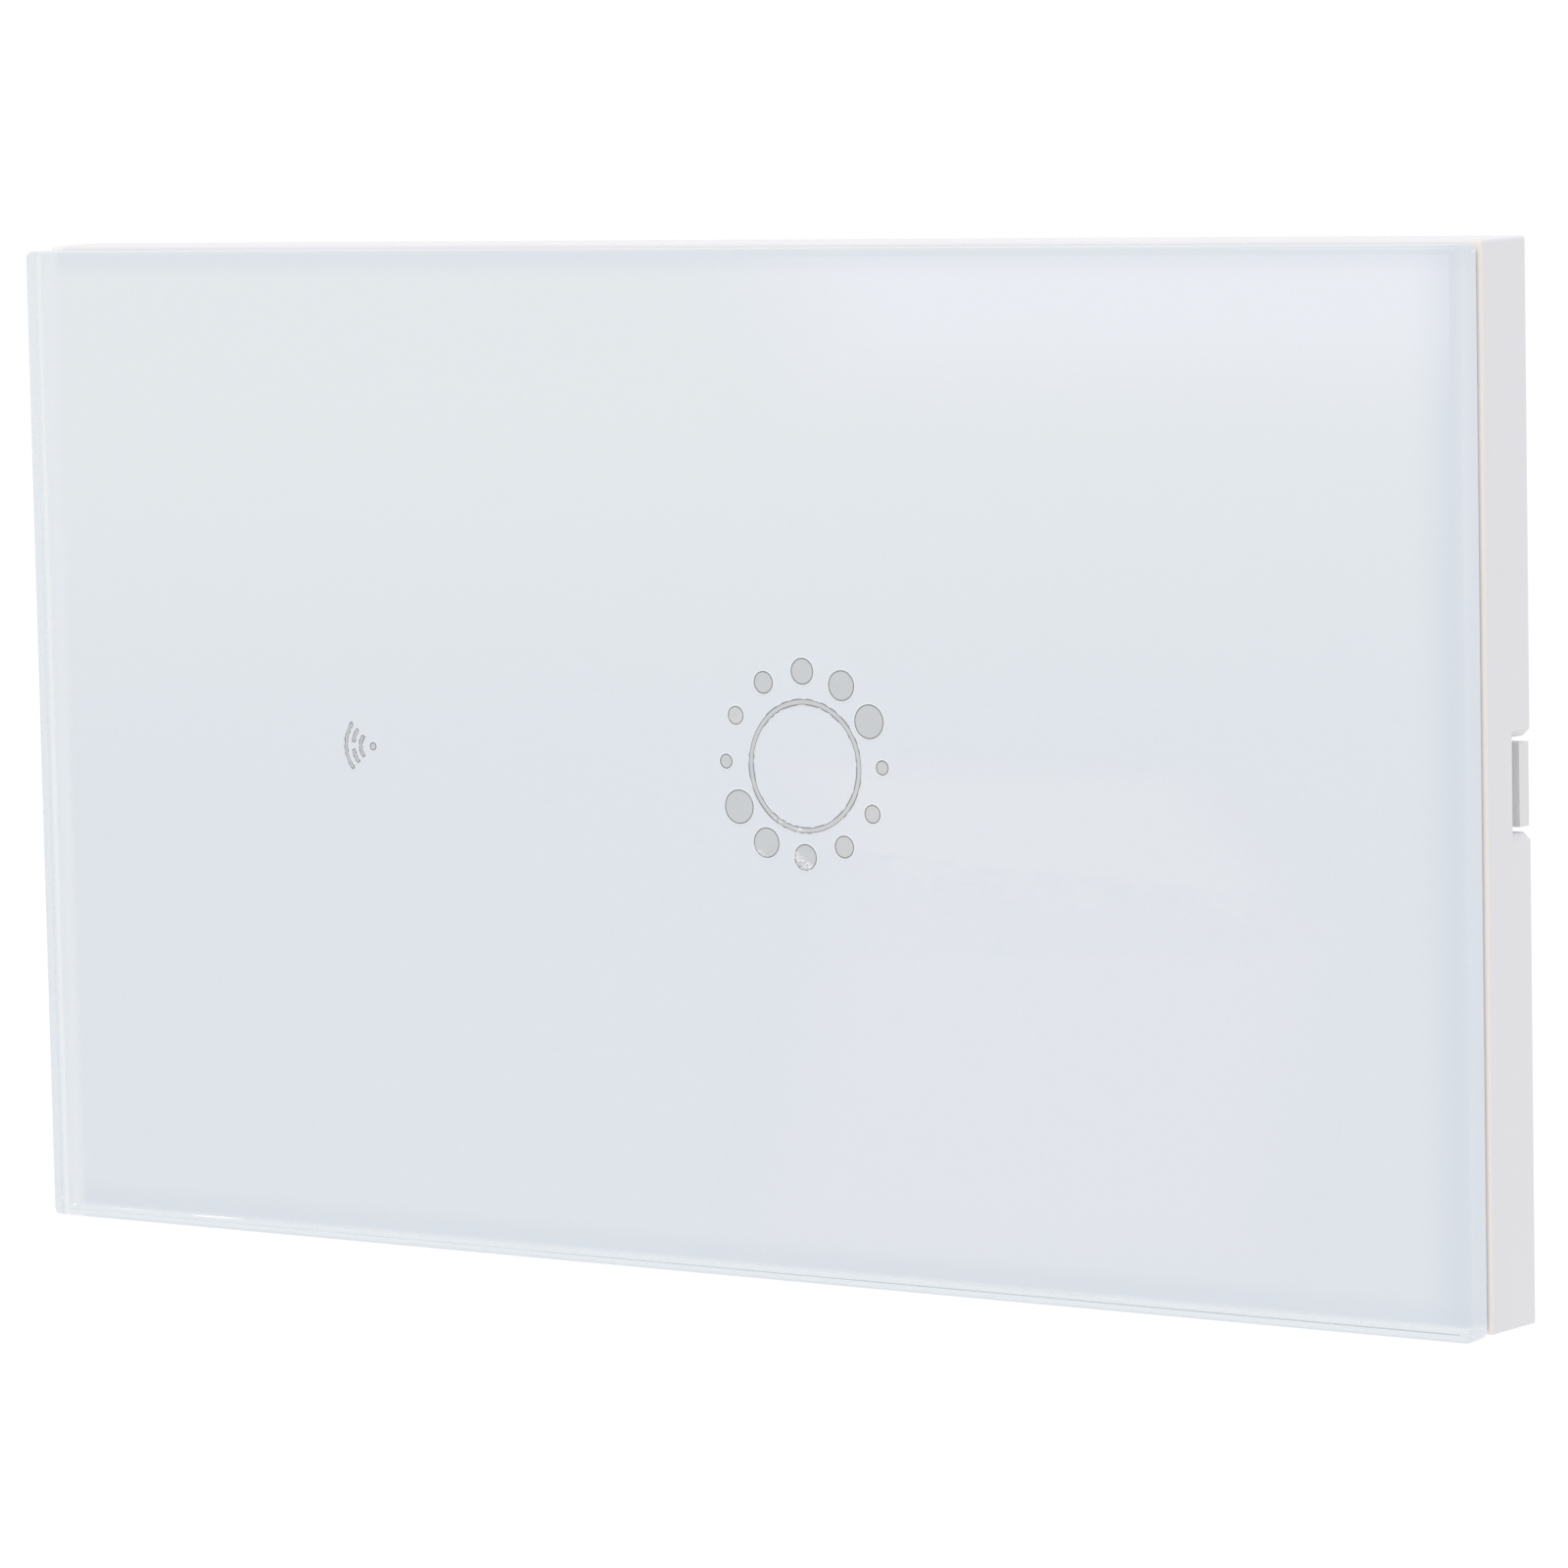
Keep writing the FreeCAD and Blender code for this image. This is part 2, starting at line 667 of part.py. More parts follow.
def control_corner(side, level):
    """A screw place near a corner of the control board."""
    edge = "control_right" if side > 0 else "control_left"
    return f"{side} * ({edge} - control_hole_inset)", f"{level} * (control_height / 2 - control_hole_inset)"


def board_screw_holes(sketch, radius):
    """Circles at the two screws of the control board."""
    for corner in BOARD_SCREW_CORNERS:
        circle(sketch, *control_corner(*corner), radius)


def terminal_window(sketch, middle, radius):
    """An opening that shows a row of three round holes of the terminal block."""
    reach = f"{radius} + window_margin"
    rectangle(sketch, middle, "0", reach, f"terminal_pitch + {reach}")


def base_plate():
    """The white moulded base that is screwed to the wall box and carries everything else."""
    body = piece("base_plate")
    pad(body, "plate", "0", "base_thick",
        lambda sketch: rectangle(sketch, "0", "0", BASE_HALF_X, BASE_HALF_Z))

    def rim(sketch):
        rectangle(sketch, "0", "0", BASE_HALF_X, BASE_HALF_Z)
        rectangle(sketch, "0", "0", f"{BASE_HALF_X} - rim_thick", f"{BASE_HALF_Z} - rim_thick")

    pad(body, "rim", "base_thick", "base_thick + rim_height", rim)
    soften(body, "Fillet", "corners", "base_corner",
           lambda edge: along_y(edge) and at_outer_corner(edge, BASE_HALF_X, BASE_HALF_Z))
    pad(body, "pry_tab", "0", "tab_thick", lambda sketch: outline(sketch, [
        (f"{BASE_HALF_X} - rim_thick", "tab_fit - notch_length / 2"),
        (f"{FRAME_HALF_X} + frame_flare - tab_setback", "tab_fit - notch_length / 2"),
        (f"{FRAME_HALF_X} + frame_flare - tab_setback", "notch_length / 2 - tab_fit"),
        (f"{BASE_HALF_X} - rim_thick", "notch_length / 2 - tab_fit")]))
    pad(body, "board_bosses", "base_thick", CONTROL_BACK, lambda sketch: [rectangle(
        sketch, *control_corner(*corner), "board_boss_width / 2", "board_boss_width / 2")
        for corner in CORNERS])
    pad(body, "housing_bosses", "-post_drop", "0", lambda sketch: at_posts(
        sketch, lambda plane, x, z: rectangle(plane, x, z, "post_width / 2", "post_width / 2")))
    pad(body, "board_clamps", POWER_FRONT, "0", lambda sketch: at_corners(
        sketch, "ledge_x", f"({INNER_HALF_Z} - ledge_reach / 2 - power_fit)",
        lambda plane, x, z: rectangle(plane, x, z, "ledge_width / 2", "ledge_reach / 2")))
    pocket(body, "board_pilots", "hole_fit", CONTROL_BACK,
           lambda sketch: board_screw_holes(sketch, "board_screw + thread_fit"))
    pocket(body, "housing_pilots", "-post_drop", "screw_bite - post_drop", lambda sketch: at_posts(
        sketch, lambda plane, x, z: circle(plane, x, z, "housing_screw + thread_fit")))

    def box_slots(sketch):
        for side in (-1, 1):
            slot(sketch, f"{side} * box_screw_spacing / 2", "0", "box_screw_slot", "box_screw_hole")

    pocket(body, "box_screw_slots", "0", "base_thick", box_slots)

    def windows(sketch):
        reach = "(hook_thick / 2 + barb_reach / 2 + hook_window_fit)"
        at_corners(sketch, HOOK_X, f"({HOOK_Z} + barb_reach / 2)", lambda plane, x, z: rectangle(
            plane, x, z, "hook_width / 2 + hook_window_fit", reach))
        rectangle(sketch, "-radio_x", "0", "radio_length / 2 + radio_window",
                  "radio_width / 2 + radio_window")
        rectangle(sketch, "header_x", "header_z", f"{PINS} * pin_pitch / 2 + header_window",
                  "header_width / 2 + header_window")

    pocket(body, "windows", "0", "base_thick", windows)
    return body


def rear_housing():
    """The deep moulded tub that sits in the wall box."""
    body = piece("rear_housing")
    pad(body, "block", "-housing_depth", "0", lambda sketch: rectangle(
        sketch, "0", "0", "housing_length / 2", "housing_height / 2"))
    soften(body, "Fillet", "corners", "housing_corner", along_y)
    pocket(body, "hollow", HOUSING_FLOOR, "0", lambda sketch: rectangle(
        sketch, "0", "0", INNER_HALF_X, INNER_HALF_Z))
    soften(body, "Fillet", "inner_corners", "housing_corner - housing_wall", lambda edge: along_y(edge)
           and at_outer_corner(edge, INNER_HALF_X, INNER_HALF_Z))
    inset = f"(post_inset + post_width / 2 + rib_root)"
    pad(body, "posts", HOUSING_FLOOR, "-post_drop", lambda sketch: at_corners(
        sketch, f"({INNER_HALF_X} + rib_root - {inset} / 2)", f"({INNER_HALF_Z} + rib_root - {inset} / 2)",
        lambda plane, x, z: rectangle(plane, x, z, f"{inset} / 2", f"{inset} / 2"), POST_CORNERS))
    pad(body, "ledges", HOUSING_FLOOR, POWER_BACK, lambda sketch: at_corners(
        sketch, "ledge_x", f"({INNER_HALF_Z} - ledge_reach / 2 + rib_root / 2)",
        lambda plane, x, z: rectangle(plane, x, z, "ledge_width / 2", "ledge_reach / 2 + rib_root / 2")))
    pocket(body, "screw_holes", "-housing_depth", "-post_drop", lambda sketch: at_posts(
        sketch, lambda plane, x, z: circle(plane, x, z, "housing_screw + hole_fit")))
    sunk = "housing_screw_sink - housing_depth"
    pocket(body, "head_seats", "-housing_depth", sunk, lambda sketch: at_posts(
        sketch, lambda plane, x, z: circle(plane, x, z, "housing_screw_head + hole_fit")))
    pocket(body, "wire_window", "-housing_depth", HOUSING_FLOOR,
           lambda sketch: terminal_window(sketch, WIRE_X, "wire_hole"))
    pocket(body, "driver_window", INNER_HALF_X, "housing_length / 2", lambda sketch: terminal_window(
        sketch, f"-{CAGE_MIDDLE}", "terminal_screw_head + head_fit"), "YZ_Plane")
    return body


def control_board():
    """The board behind the glass with the lamps, the touch spring and the radio."""
    body = piece("control_board")
    middle, half = "(control_right - control_left) / 2", "(control_right + control_left) / 2"
    pad(body, "laminate", CONTROL_BACK, CONTROL_FRONT, lambda sketch: rectangle(
        sketch, middle, "0", half, "control_height / 2"))
    pocket(body, "screw_holes", CONTROL_BACK, CONTROL_FRONT,
           lambda sketch: board_screw_holes(sketch, "board_screw + hole_fit"))
    return body


def power_board():
    """The mains board, notched at its corners for the housing's posts."""
    body = piece("power_board")
    half_x, half_z = f"({INNER_HALF_X} - power_fit)", f"({INNER_HALF_Z} - power_fit)"
    pad(body, "laminate", POWER_BACK, POWER_FRONT, lambda sketch: rectangle(sketch, "0", "0", half_x, half_z))
    pocket(body, "post_notches", POWER_BACK, POWER_FRONT, lambda sketch: at_corners(
        sketch, half_x, half_z, lambda plane, x, z: rectangle(plane, x, z, "power_notch", "power_notch")))
    return body


def terminal_block():
    """A moulding with a chamber for each rising cage, open towards the board."""
    body = piece("terminal_block")
    middle = f"({BLOCK_LEFT} + {BLOCK_RIGHT}) / 2"
    pad(body, "block", BLOCK_BACK, POWER_BACK, lambda sketch: rectangle(
        sketch, middle, "0", "block_length / 2", "block_height / 2"))
    floor = f"{POWER_BACK} - cage_drop - cage_depth - cage_fit"
    chamber = f"({NECK_LEFT} - {CAVITY_LEFT}) / 2"
    pocket(body, "chambers", floor, POWER_BACK, lambda sketch: [rectangle(
        sketch, f"{CAVITY_LEFT} + {chamber}", f"{row} * terminal_pitch", chamber, "cage_width / 2 + cage_fit")
        for row in TERMINAL_ROWS])
    pocket(body, "wire_ways", BLOCK_BACK, floor, lambda sketch: [
        circle(sketch, WIRE_X, f"{row} * terminal_pitch", "wire_hole") for row in TERMINAL_ROWS])
    pocket(body, "necks", NECK_LEFT, BLOCK_RIGHT, lambda sketch: [
        circle(sketch, f"-{CAGE_MIDDLE}", f"{row} * terminal_pitch", "terminal_screw + screw_run_fit")
        for row in TERMINAL_ROWS], "YZ_Plane")
    seat = "terminal_screw_head + head_fit"
    pocket(body, "head_seats", f"{NECK_LEFT} + block_wall", BLOCK_RIGHT, lambda sketch: [
        rectangle(sketch, f"-{CAGE_MIDDLE}", f"{row} * terminal_pitch", seat, seat)
        for row in TERMINAL_ROWS], "YZ_Plane")
    return body


def busbars():
    """Three brass strips that the cages clamp the wires against, each with a foot on the board."""
    bars = []
    for number, row in enumerate(TERMINAL_ROWS, 1):
        z = about(f"{row} * terminal_pitch", "busbar_width")
        strip = box(f"busbar_strip_{number}", (f"{BUSBAR_RIGHT} - busbar_thick", BUSBAR_RIGHT),
                    (f"{POWER_BACK} - cage_drop - cage_depth", POWER_BACK), z)
        foot = box(f"busbar_foot_{number}",
                   (f"{BUSBAR_RIGHT} - busbar_thick", f"{BUSBAR_RIGHT} + busbar_foot"),
                   (f"{POWER_BACK} - busbar_thick", POWER_BACK), z)
        bars.append(joined(f"busbar_{number}", [strip, foot]))
    return grouped("busbars", bars)


def clamp_cage(number, row):
    """A rising cage: a brass ring that the screw draws towards its head."""
    body = piece(f"clamp_cage_{number}")
    middle, z = f"({CAGE_LEFT} + cage_length / 2)", f"{row} * terminal_pitch"

    def ring(sketch):
        rectangle(sketch, middle, z, "cage_length / 2", "cage_width / 2")
        rectangle(sketch, middle, z, "cage_length / 2 - cage_wall", "cage_width / 2 - cage_side")

    pad(body, "ring", f"{CAGE_MIDDLE} - cage_depth / 2", f"{CAGE_MIDDLE} + cage_depth / 2", ring)
    right = f"{CAGE_LEFT} + cage_length"
    pocket(body, "threaded_hole", f"{right} - cage_wall", right, lambda sketch: circle(
        sketch, f"-{CAGE_MIDDLE}", z, "terminal_screw + screw_run_fit"), "YZ_Plane")
    return body


def terminal_screw(number, row):
    """A slotted screw that turns in place and draws its cage along."""
    body = piece(f"terminal_screw_{number}")
    z = f"{row} * terminal_pitch"
    seat = f"({NECK_LEFT} + block_wall + thread_fit)"
    head_end = f"({seat} + terminal_screw_head_height)"
    pad(body, "shank", SCREW_TIP, seat, lambda sketch: circle(
        sketch, f"-{CAGE_MIDDLE}", z, "terminal_screw"), "YZ_Plane")
    pad(body, "head", seat, head_end, lambda sketch: circle(
        sketch, f"-{CAGE_MIDDLE}", z, "terminal_screw_head"), "YZ_Plane")
    pocket(body, "driver_slot", f"{head_end} - drive_depth", head_end, lambda sketch: rectangle(
        sketch, f"-{CAGE_MIDDLE}", z, "drive_width / 2 + screw_run_fit", "terminal_screw_head"), "YZ_Plane")
    return body


def fastener(name, x, z, tip, seat, end, shank, head):
    """A pan-head screw along Y, given by the heights of its tip, its seat and the end of its head."""
    shaft = rod(f"{name}_shank", x, z, shank, f"min({tip}; {seat})", f"max({tip}; {seat})")
    cap = rod(f"{name}_head", x, z, head, f"min({seat}; {end})", f"max({seat}; {end})")
    return joined(name, [shaft, cap])


def board_screws():
    """Two small screws that hold the control board on the base plate's bosses."""
    return grouped("board_screws", [fastener(
        f"board_screw_{number}", *control_corner(*corner), "2 * hole_fit", CONTROL_FRONT,
        f"({CONTROL_FRONT} + board_screw_head_height)", "board_screw", "board_screw_head")
        for number, corner in enumerate(BOARD_SCREW_CORNERS, 1)])


def housing_screws():
    """Two long screws from the rear that clamp the housing to the base plate."""
    seat = "(housing_screw_sink - housing_depth)"
    return grouped("housing_screws", [fastener(
        f"housing_screw_{number}", f"{side} * {POST_X}", f"{level} * {POST_Z}",
        "(screw_bite - post_drop - hole_fit)", seat, f"({seat} - housing_screw_head_height)",
        "housing_screw", "housing_screw_head") for number, (side, level) in enumerate(POST_CORNERS, 1)])


def touch_spring():
    """A coil of wire from the control board to just behind the film, bent in short straight runs."""
    low = f"({CONTROL_FRONT} + spring_wire)"
    rise = f"({FRAME_FRONT} - spring_gap - spring_wire - {low})"
    runs = round(SPRING_RUNS_A_TURN * value(f"{rise} / spring_pitch"))
    points = []
    for step in range(runs + 1):
        turn = 2 * math.pi * step / SPRING_RUNS_A_TURN
        points.append(Vector(
            value("ring_x") + value("spring_radius") * math.cos(turn),
            -value(low) - value(rise) * step / runs,
            value("ring_z") + value("spring_radius") * math.sin(turn)))
    route = doc.addObject("Part::Polygon", "spring_route")
    route.Nodes = points
    wire = doc.addObject("Part::RegularPolygon", "spring_section")
    wire.Polygon = WIRE_SIDES
    bind(wire, Circumradius="spring_wire")
    wire.Placement = FreeCAD.Placement(points[0], Rotation(Vector(0, 0, 1), points[1] - points[0]))
    doc.recompute()
    spring = doc.addObject("Part::Sweep", "touch_spring")
    spring.Sections = [wire]
    spring.Spine = (route, [f"Edge{number + 1}" for number in range(runs)])
    spring.Solid = True
    spring.Transition = "Right corner"
    return spring


def on_control(name, x, z, length, width, height):
    """A block on the front of the control board."""
    return box(name, about(x, length), (CONTROL_FRONT, f"{CONTROL_FRONT} + {height}"), about(z, width))


def indicator_lamps():
    """A lamp behind each dot, and one behind the fan."""
    lamps, lamp = [], ("lamp_length", "lamp_width", "lamp_height")
    for step in range(DOTS):
        lamps.append(on_control(f"lamp_{step + 1}", *dot_place(step), *lamp))
    lamps.append(on_control("fan_lamp", "-fan_diffuser_x", "0", *lamp))
    return grouped("indicator_lamps", lamps)


def touch_chip():
    """The touch sensing chip with its two rows of legs."""
    case = on_control("touch_case", "-touch_chip_x", "touch_chip_z", "touch_chip_length",
                      "touch_chip_width", "touch_chip_height")
    legs = []
    for leg in range(CHIP_LEGS):
        x = f"-touch_chip_x + {leg - (CHIP_LEGS - 1) / 2} * chip_leg_pitch"
        legs.append(box(
            f"touch_leg_{leg + 1}", about(x, "chip_leg_width"),
            (CONTROL_FRONT, f"{CONTROL_FRONT} + chip_leg_height"),
            about("touch_chip_z", "touch_chip_width + 2 * chip_leg_reach")))
    return joined("touch_chip", [case] + legs)


def small_parts():
    """Chip resistors and capacitors in a row along the lower edge of the board."""
    parts = []
    for number in range(SMALL_PARTS):
        step = number - (SMALL_PARTS - 1) / 2
        parts.append(on_control(
            f"small_part_{number + 1}", f"-control_left / 2 + {step} * chip_part_pitch",
            "-chip_part_z", "chip_part_width", "chip_part_length", "chip_part_height"))
    return grouped("chip_parts", parts)


def radio_parts():
    """The radio module hangs behind the control board in a window of the base plate."""
    board = box("radio_board", about("-radio_x", "radio_length"),
                (f"{CONTROL_BACK} - radio_thick", CONTROL_BACK), about("0", "radio_width"))
    left = "-radio_x - radio_length / 2 + (radio_width - radio_shield_width) / 2"
    shield = box("radio_shield", (left, f"{left} + radio_shield_length"),
                 (f"{CONTROL_BACK} - radio_thick - radio_shield_height", f"{CONTROL_BACK} - radio_thick"),
                 about("0", "radio_shield_width"))
    return [board, shield]


def connector():
    """A row of pins under the control board and the socket for them on the mains board."""
    strip_low = f"{CONTROL_BACK} - header_thick"
    pins, ways = [], []
    for number in range(PINS):
        x = f"header_x + {number - (PINS - 1) / 2} * pin_pitch"
        pins.append(box(f"pin_{number + 1}", about(x, "pin_width"),
                        (f"{CONTROL_BACK} - pin_reach", CONTROL_BACK), about("header_z", "pin_width")))
        ways.append(box(f"pin_way_{number + 1}", about(x, "pin_width + 2 * socket_fit"),
                        (POWER_FRONT, f"{POWER_FRONT} + socket_height"),
                        about("header_z", "pin_width + 2 * socket_fit")))
    group = grouped("header_pins", pins)
    strip = box("strip_block", about("header_x", f"{PINS} * pin_pitch"), (strip_low, CONTROL_BACK),
                about("header_z", "header_width"))
    block = box("socket_block", about("header_x", f"{PINS} * pin_pitch"),
                (POWER_FRONT, f"{POWER_FRONT} + socket_height"), about("header_z", "header_width"))
    socket = minus("header_socket", block, grouped("pin_ways", ways))
    return [group, minus("header_strip", strip, group), socket]


def on_power(name, x, z, length, width, height):
    """A block on the rear of the mains board."""
    return box(name, about(x, length), (f"{POWER_BACK} - {height}", POWER_BACK), about(z, width))


def relay():
    """The sealed relay that switches the load."""
    body = piece("relay")
    pad(body, "case", f"{POWER_BACK} - relay_height", POWER_BACK, lambda sketch: rectangle(
        sketch, RELAY_X, RELAY_Z, "relay_length / 2", "relay_width / 2"))
    soften(body, "Chamfer", "case_edges", "relay_bevel", lambda edge: not flat_at(edge, POWER_BACK))
    return body


def transformer():
    """A ferrite frame round a wound bobbin."""
    block = on_power("core_block", TRANSFORMER_X, "transformer_z", "core_length", "core_width", "core_height")
    window = box("core_window", about(TRANSFORMER_X, "core_length - 2 * core_leg"),
                 (f"{POWER_BACK} - core_height + core_leg", f"{POWER_BACK} - core_leg"),
                 about("transformer_z", "2 * core_width"))
    coil = rod("transformer_coil", TRANSFORMER_X, "transformer_z",
               "core_length / 2 - core_leg - coil_fit",
               f"{POWER_BACK} - core_height + core_leg + coil_fit", f"{POWER_BACK} - core_leg - coil_fit")
    return [minus("transformer_core", block, window), coil]


def filter_cans():
    """Electrolytic cans in a row."""
    return grouped("filter_capacitors", [rod(
        f"can_{number + 1}", f"{CAN_X} + {number} * can_pitch", CAN_Z, "can_radius",
        f"{POWER_BACK} - can_height", POWER_BACK) for number in range(CANS)])


def mains_parts():
    """The parts that protect and feed the supply."""
    film = on_power("suppressor_capacitor", FILM_X, "-film_z", "film_width", "film_length", "film_height")
    surge = doc.addObject("Part::Cylinder", "surge_disc")
    bind(surge, Radius="surge_radius", Height="surge_thick")
    surge.Placement.Rotation = Rotation(Vector(0, 1, 0), 90)
    place(surge, f"{SURGE_X} - surge_thick / 2", f"surge_radius - {POWER_BACK}", "-surge_z")
    fuse = lying_rod("fuse_resistor", FUSE_X, f"{POWER_BACK} - fuse_radius",
                     about("-fuse_z", "fuse_length"), "fuse_radius")
    bridge = on_power("bridge_rectifier", BRIDGE_X, "-bridge_z", "bridge_length", "bridge_width",
                      "bridge_height")
    choke = rod("input_choke", CHOKE_X, "choke_z", "choke_radius", f"{POWER_BACK} - choke_height", POWER_BACK)
    return [film, surge, fuse, bridge, choke, filter_cans()]


nodes = [glass_panel()] + glass_layers() + [front_frame()] + diffusers()
nodes += [base_plate(), rear_housing(), control_board(), power_board(), terminal_block(), busbars()]
nodes += [board_screws(), housing_screws(), touch_spring(), indicator_lamps(), touch_chip(), small_parts()]
nodes.append(on_control("logic_chip", "-logic_chip_x", "-logic_chip_z", "logic_chip_side",
                        "logic_chip_side", "logic_chip_height"))
nodes += radio_parts() + connector() + [relay()] + transformer() + mains_parts()
for number, row in enumerate(TERMINAL_ROWS, 1):
    nodes += [clamp_cage(number, row), terminal_screw(number, row)]

doc.recompute()
for item in doc.Objects:
    if "Invalid" in item.State or "Error" in item.State:
        raise ValueError(f"{item.Label} failed: {item.State}")
for node in nodes:
    if node.Shape.isNull() or not node.Shape.isValid():
        raise ValueError(f"{node.Label} has no valid shape")

os.makedirs("parts", exist_ok=True)
for node in nodes:
    node.Shape.exportStep(f"parts/{node.Label}.step")
print(len(nodes), "pieces written")
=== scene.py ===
import math

import bmesh
import bpy
import numpy as np
from bpy.props import FloatProperty, FloatVectorProperty, IntProperty, PointerProperty
from mathutils import Matrix, Vector


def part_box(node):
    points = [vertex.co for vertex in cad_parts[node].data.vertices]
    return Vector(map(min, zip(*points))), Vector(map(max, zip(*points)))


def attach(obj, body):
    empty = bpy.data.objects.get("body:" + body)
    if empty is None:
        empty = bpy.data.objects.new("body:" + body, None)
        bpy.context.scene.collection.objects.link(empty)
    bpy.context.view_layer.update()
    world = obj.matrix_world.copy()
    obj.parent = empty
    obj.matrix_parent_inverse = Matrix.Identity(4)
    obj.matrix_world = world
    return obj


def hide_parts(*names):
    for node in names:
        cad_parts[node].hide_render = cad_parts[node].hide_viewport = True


bl_info = {
    "name": "Glass touch switch",
    "version": (1, 0, 0),
    "blender": (4, 5, 0),
    "location": "3D View > Sidebar > Switch",
    "description": "Dresses the solids of a glass-fronted touch switch with surfaces and finishes",
    "category": "Object",
}

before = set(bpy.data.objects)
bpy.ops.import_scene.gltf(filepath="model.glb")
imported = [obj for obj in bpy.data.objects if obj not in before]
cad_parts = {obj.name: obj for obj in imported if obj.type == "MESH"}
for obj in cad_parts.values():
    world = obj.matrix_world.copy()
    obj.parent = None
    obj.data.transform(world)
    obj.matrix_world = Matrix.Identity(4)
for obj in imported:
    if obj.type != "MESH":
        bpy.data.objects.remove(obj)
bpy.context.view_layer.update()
MM = 0.001
FULL_TURN = 2 * math.pi
QUARTER_TURN = math.pi / 2
UPRIGHT = (0, 1, 0)

# Coat behind the glass: its colour at the top, where painted light makes it paler and greener, in its painted
# shade bands and in its painted highlight bands.
COAT_LIT_TOP = (0.848, 0.888, 0.922)
COAT_EDGE_SHADE = (0.715, 0.765, 0.845)
COAT_EDGE_HIGHLIGHT = (0.87, 0.905, 0.95)
# For the band of painted shade at the right, top and bottom edge: where it starts to fade and where it ends,
# in millimetres from the edge, and how strong it is.
EDGE_SHADE_BANDS = ((0.2, 5.0, 0.85), (0.9, 2.1, 0.35), (1.4, 3.0, 0.35))
# Bounces inside the pane after which light goes straight on, so that none is caught in its edges.
LAST_BOUNCE = 3.5

# Seat of the glass in the frame: the width of its strip of painted highlight, and its colours there and in
# the painted shade at the right.
SEAT_STRIP = 1.1 * MM
SEAT_HIGHLIGHT = (0.95, 0.98, 1.0)
SEAT_SHADE = (0.93, 0.87, 0.825)

RING_BAND = 0.47 * MM
# Where the ring has taken in air, in degrees, and how far that spreads, in radians.
RING_CHIPS = (239, 262)
CHIP_SPREAD = 0.07
# For the dots with air in them: how much, and how far along the way to 7 o'clock it starts, in radii.
BUBBLES_BY_HOUR = {6: (0.95, 0.0), 7: (0.9, 0.6), 10: (0.3, -0.8)}
# The fan's arcs in degrees, as they stand in the solid and as they print, half of the gap in the middle one,
# the width of a stroke, and how far above its solid the fan prints.
FAN_SPREAD = 112.0
FAN_PRINTED = 87.0
FAN_GAP = math.radians(7.0)
FAN_STROKE = 0.36 * MM
FAN_LIFT = np.array((0.0, 0.0, 0.12 * MM))

# How far in front of the pane the cards stand, the share of a card that fades, and the strength of its light.
CARD_REACH = 0.42
CARD_FADE = 0.22
CARD_STRENGTH = 3.0
# For each card: its brightness in red, green and blue, and the patch of the pane that mirrors it, in
# millimetres.
CARDS = {
    "upper_card": ((2.1, 1.75, 2.2), ((-34.0, 66.0), (96.0, 66.0), (96.0, 22.0), (6.0, 22.5))),
    "lower_card": ((1.65, 1.35, 1.15), ((3.0, 1.5), (42.0, 2.0), (54.0, -10.5), (13.0, -13.0))),
    "low_card": ((1.5, 1.22, 1.3), ((8.0, -5.5), (54.0, -7.5), (48.0, -34.0), (-2.0, -37.0))),
}

# For each pair of screws: the side of Y that the heads face, the shank's radius and the head's height.
SCREWS = {"board_screws": (-1, 0.75 * MM, 1.0 * MM), "housing_screws": (1, 1.2 * MM, 1.5 * MM)}
TERMINAL_SHANK = 4.4 * MM
SPRING_WIRE = 0.4 * MM
SPRING_TURNS = 4
LEAD_RADIUS = 0.3 * MM
LEG_RADIUS = 0.42 * MM

CLOTH = (0.62, 0.60, 0.42)
FUSE_BODY = (0.12, 0.30, 0.22)
# For each band of the fuse resistor: where it starts and ends along the body, and its colour.
FUSE_BANDS = ((0.21, 0.28, (0.35, 0.12, 0.05)), (0.41, 0.48, (0.03, 0.03, 0.03)),
              (0.61, 0.68, (0.03, 0.03, 0.03)), (0.85, 0.93, (0.6, 0.42, 0.1)))


def node_box(node):
    """Lowest and highest corner of a solid, as arrays in metres."""
    low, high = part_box(node)
    return np.array(low), np.array(high)


def numbers_of(items, name, kind, width):
    """One property of every item of a mesh, a row for each."""
    values = np.empty(len(items) * width, kind)
    items.foreach_get(name, values)
    return values.reshape(-1, width)


def solids_of(node):
    """Boxes of the separate solids that share a node.

    Each place where corners meet starts with its own number. Both ends of an edge take the lower of their two
    numbers, again and again, until every solid is left with a single one.
    """
    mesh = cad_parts[node].data
    spots = numbers_of(mesh.vertices, "co", np.float32, 3).astype(float)
    places = np.unique(np.round(spots, 7), axis=0, return_inverse=True)[1].ravel()
    first, second = places[numbers_of(mesh.edges, "vertices", np.int32, 2)].T
    number = np.arange(places.max() + 1)
    settled = False
    while not settled:
        before = number.copy()
        lower = np.minimum(number[first], number[second])
        np.minimum.at(number, first, lower)
        np.minimum.at(number, second, lower)
        settled = np.array_equal(before, number)
    parts = [spots[number[places] == one] for one in np.unique(number)]
    return sorted(((part.min(0), part.max(0)) for part in parts), key=lambda box: tuple(np.round(box[0], 5)))


def round_room(low, high):
    """Radius, height and foot of the turned piece that stands along Y in a box."""
    middle = (low + high) / 2
    return (high[0] - low[0]) / 2, high[1] - low[1], (middle[0], low[1], middle[2])


def length(name, description, millimetres):
    """A length that is given in millimetres and kept in metres."""
    return FloatProperty(name=name, description=description, default=millimetres * MM, unit="LENGTH")


def angle(name, description, degrees):
    """An angle that is given in degrees and kept in radians."""
    return FloatProperty(name=name, description=description, default=math.radians(degrees), subtype="ANGLE")


def colour(name, description, default):
    """A colour in linear red, green and blue."""
    return FloatVectorProperty(name=name, description=description, default=default, subtype="COLOR")


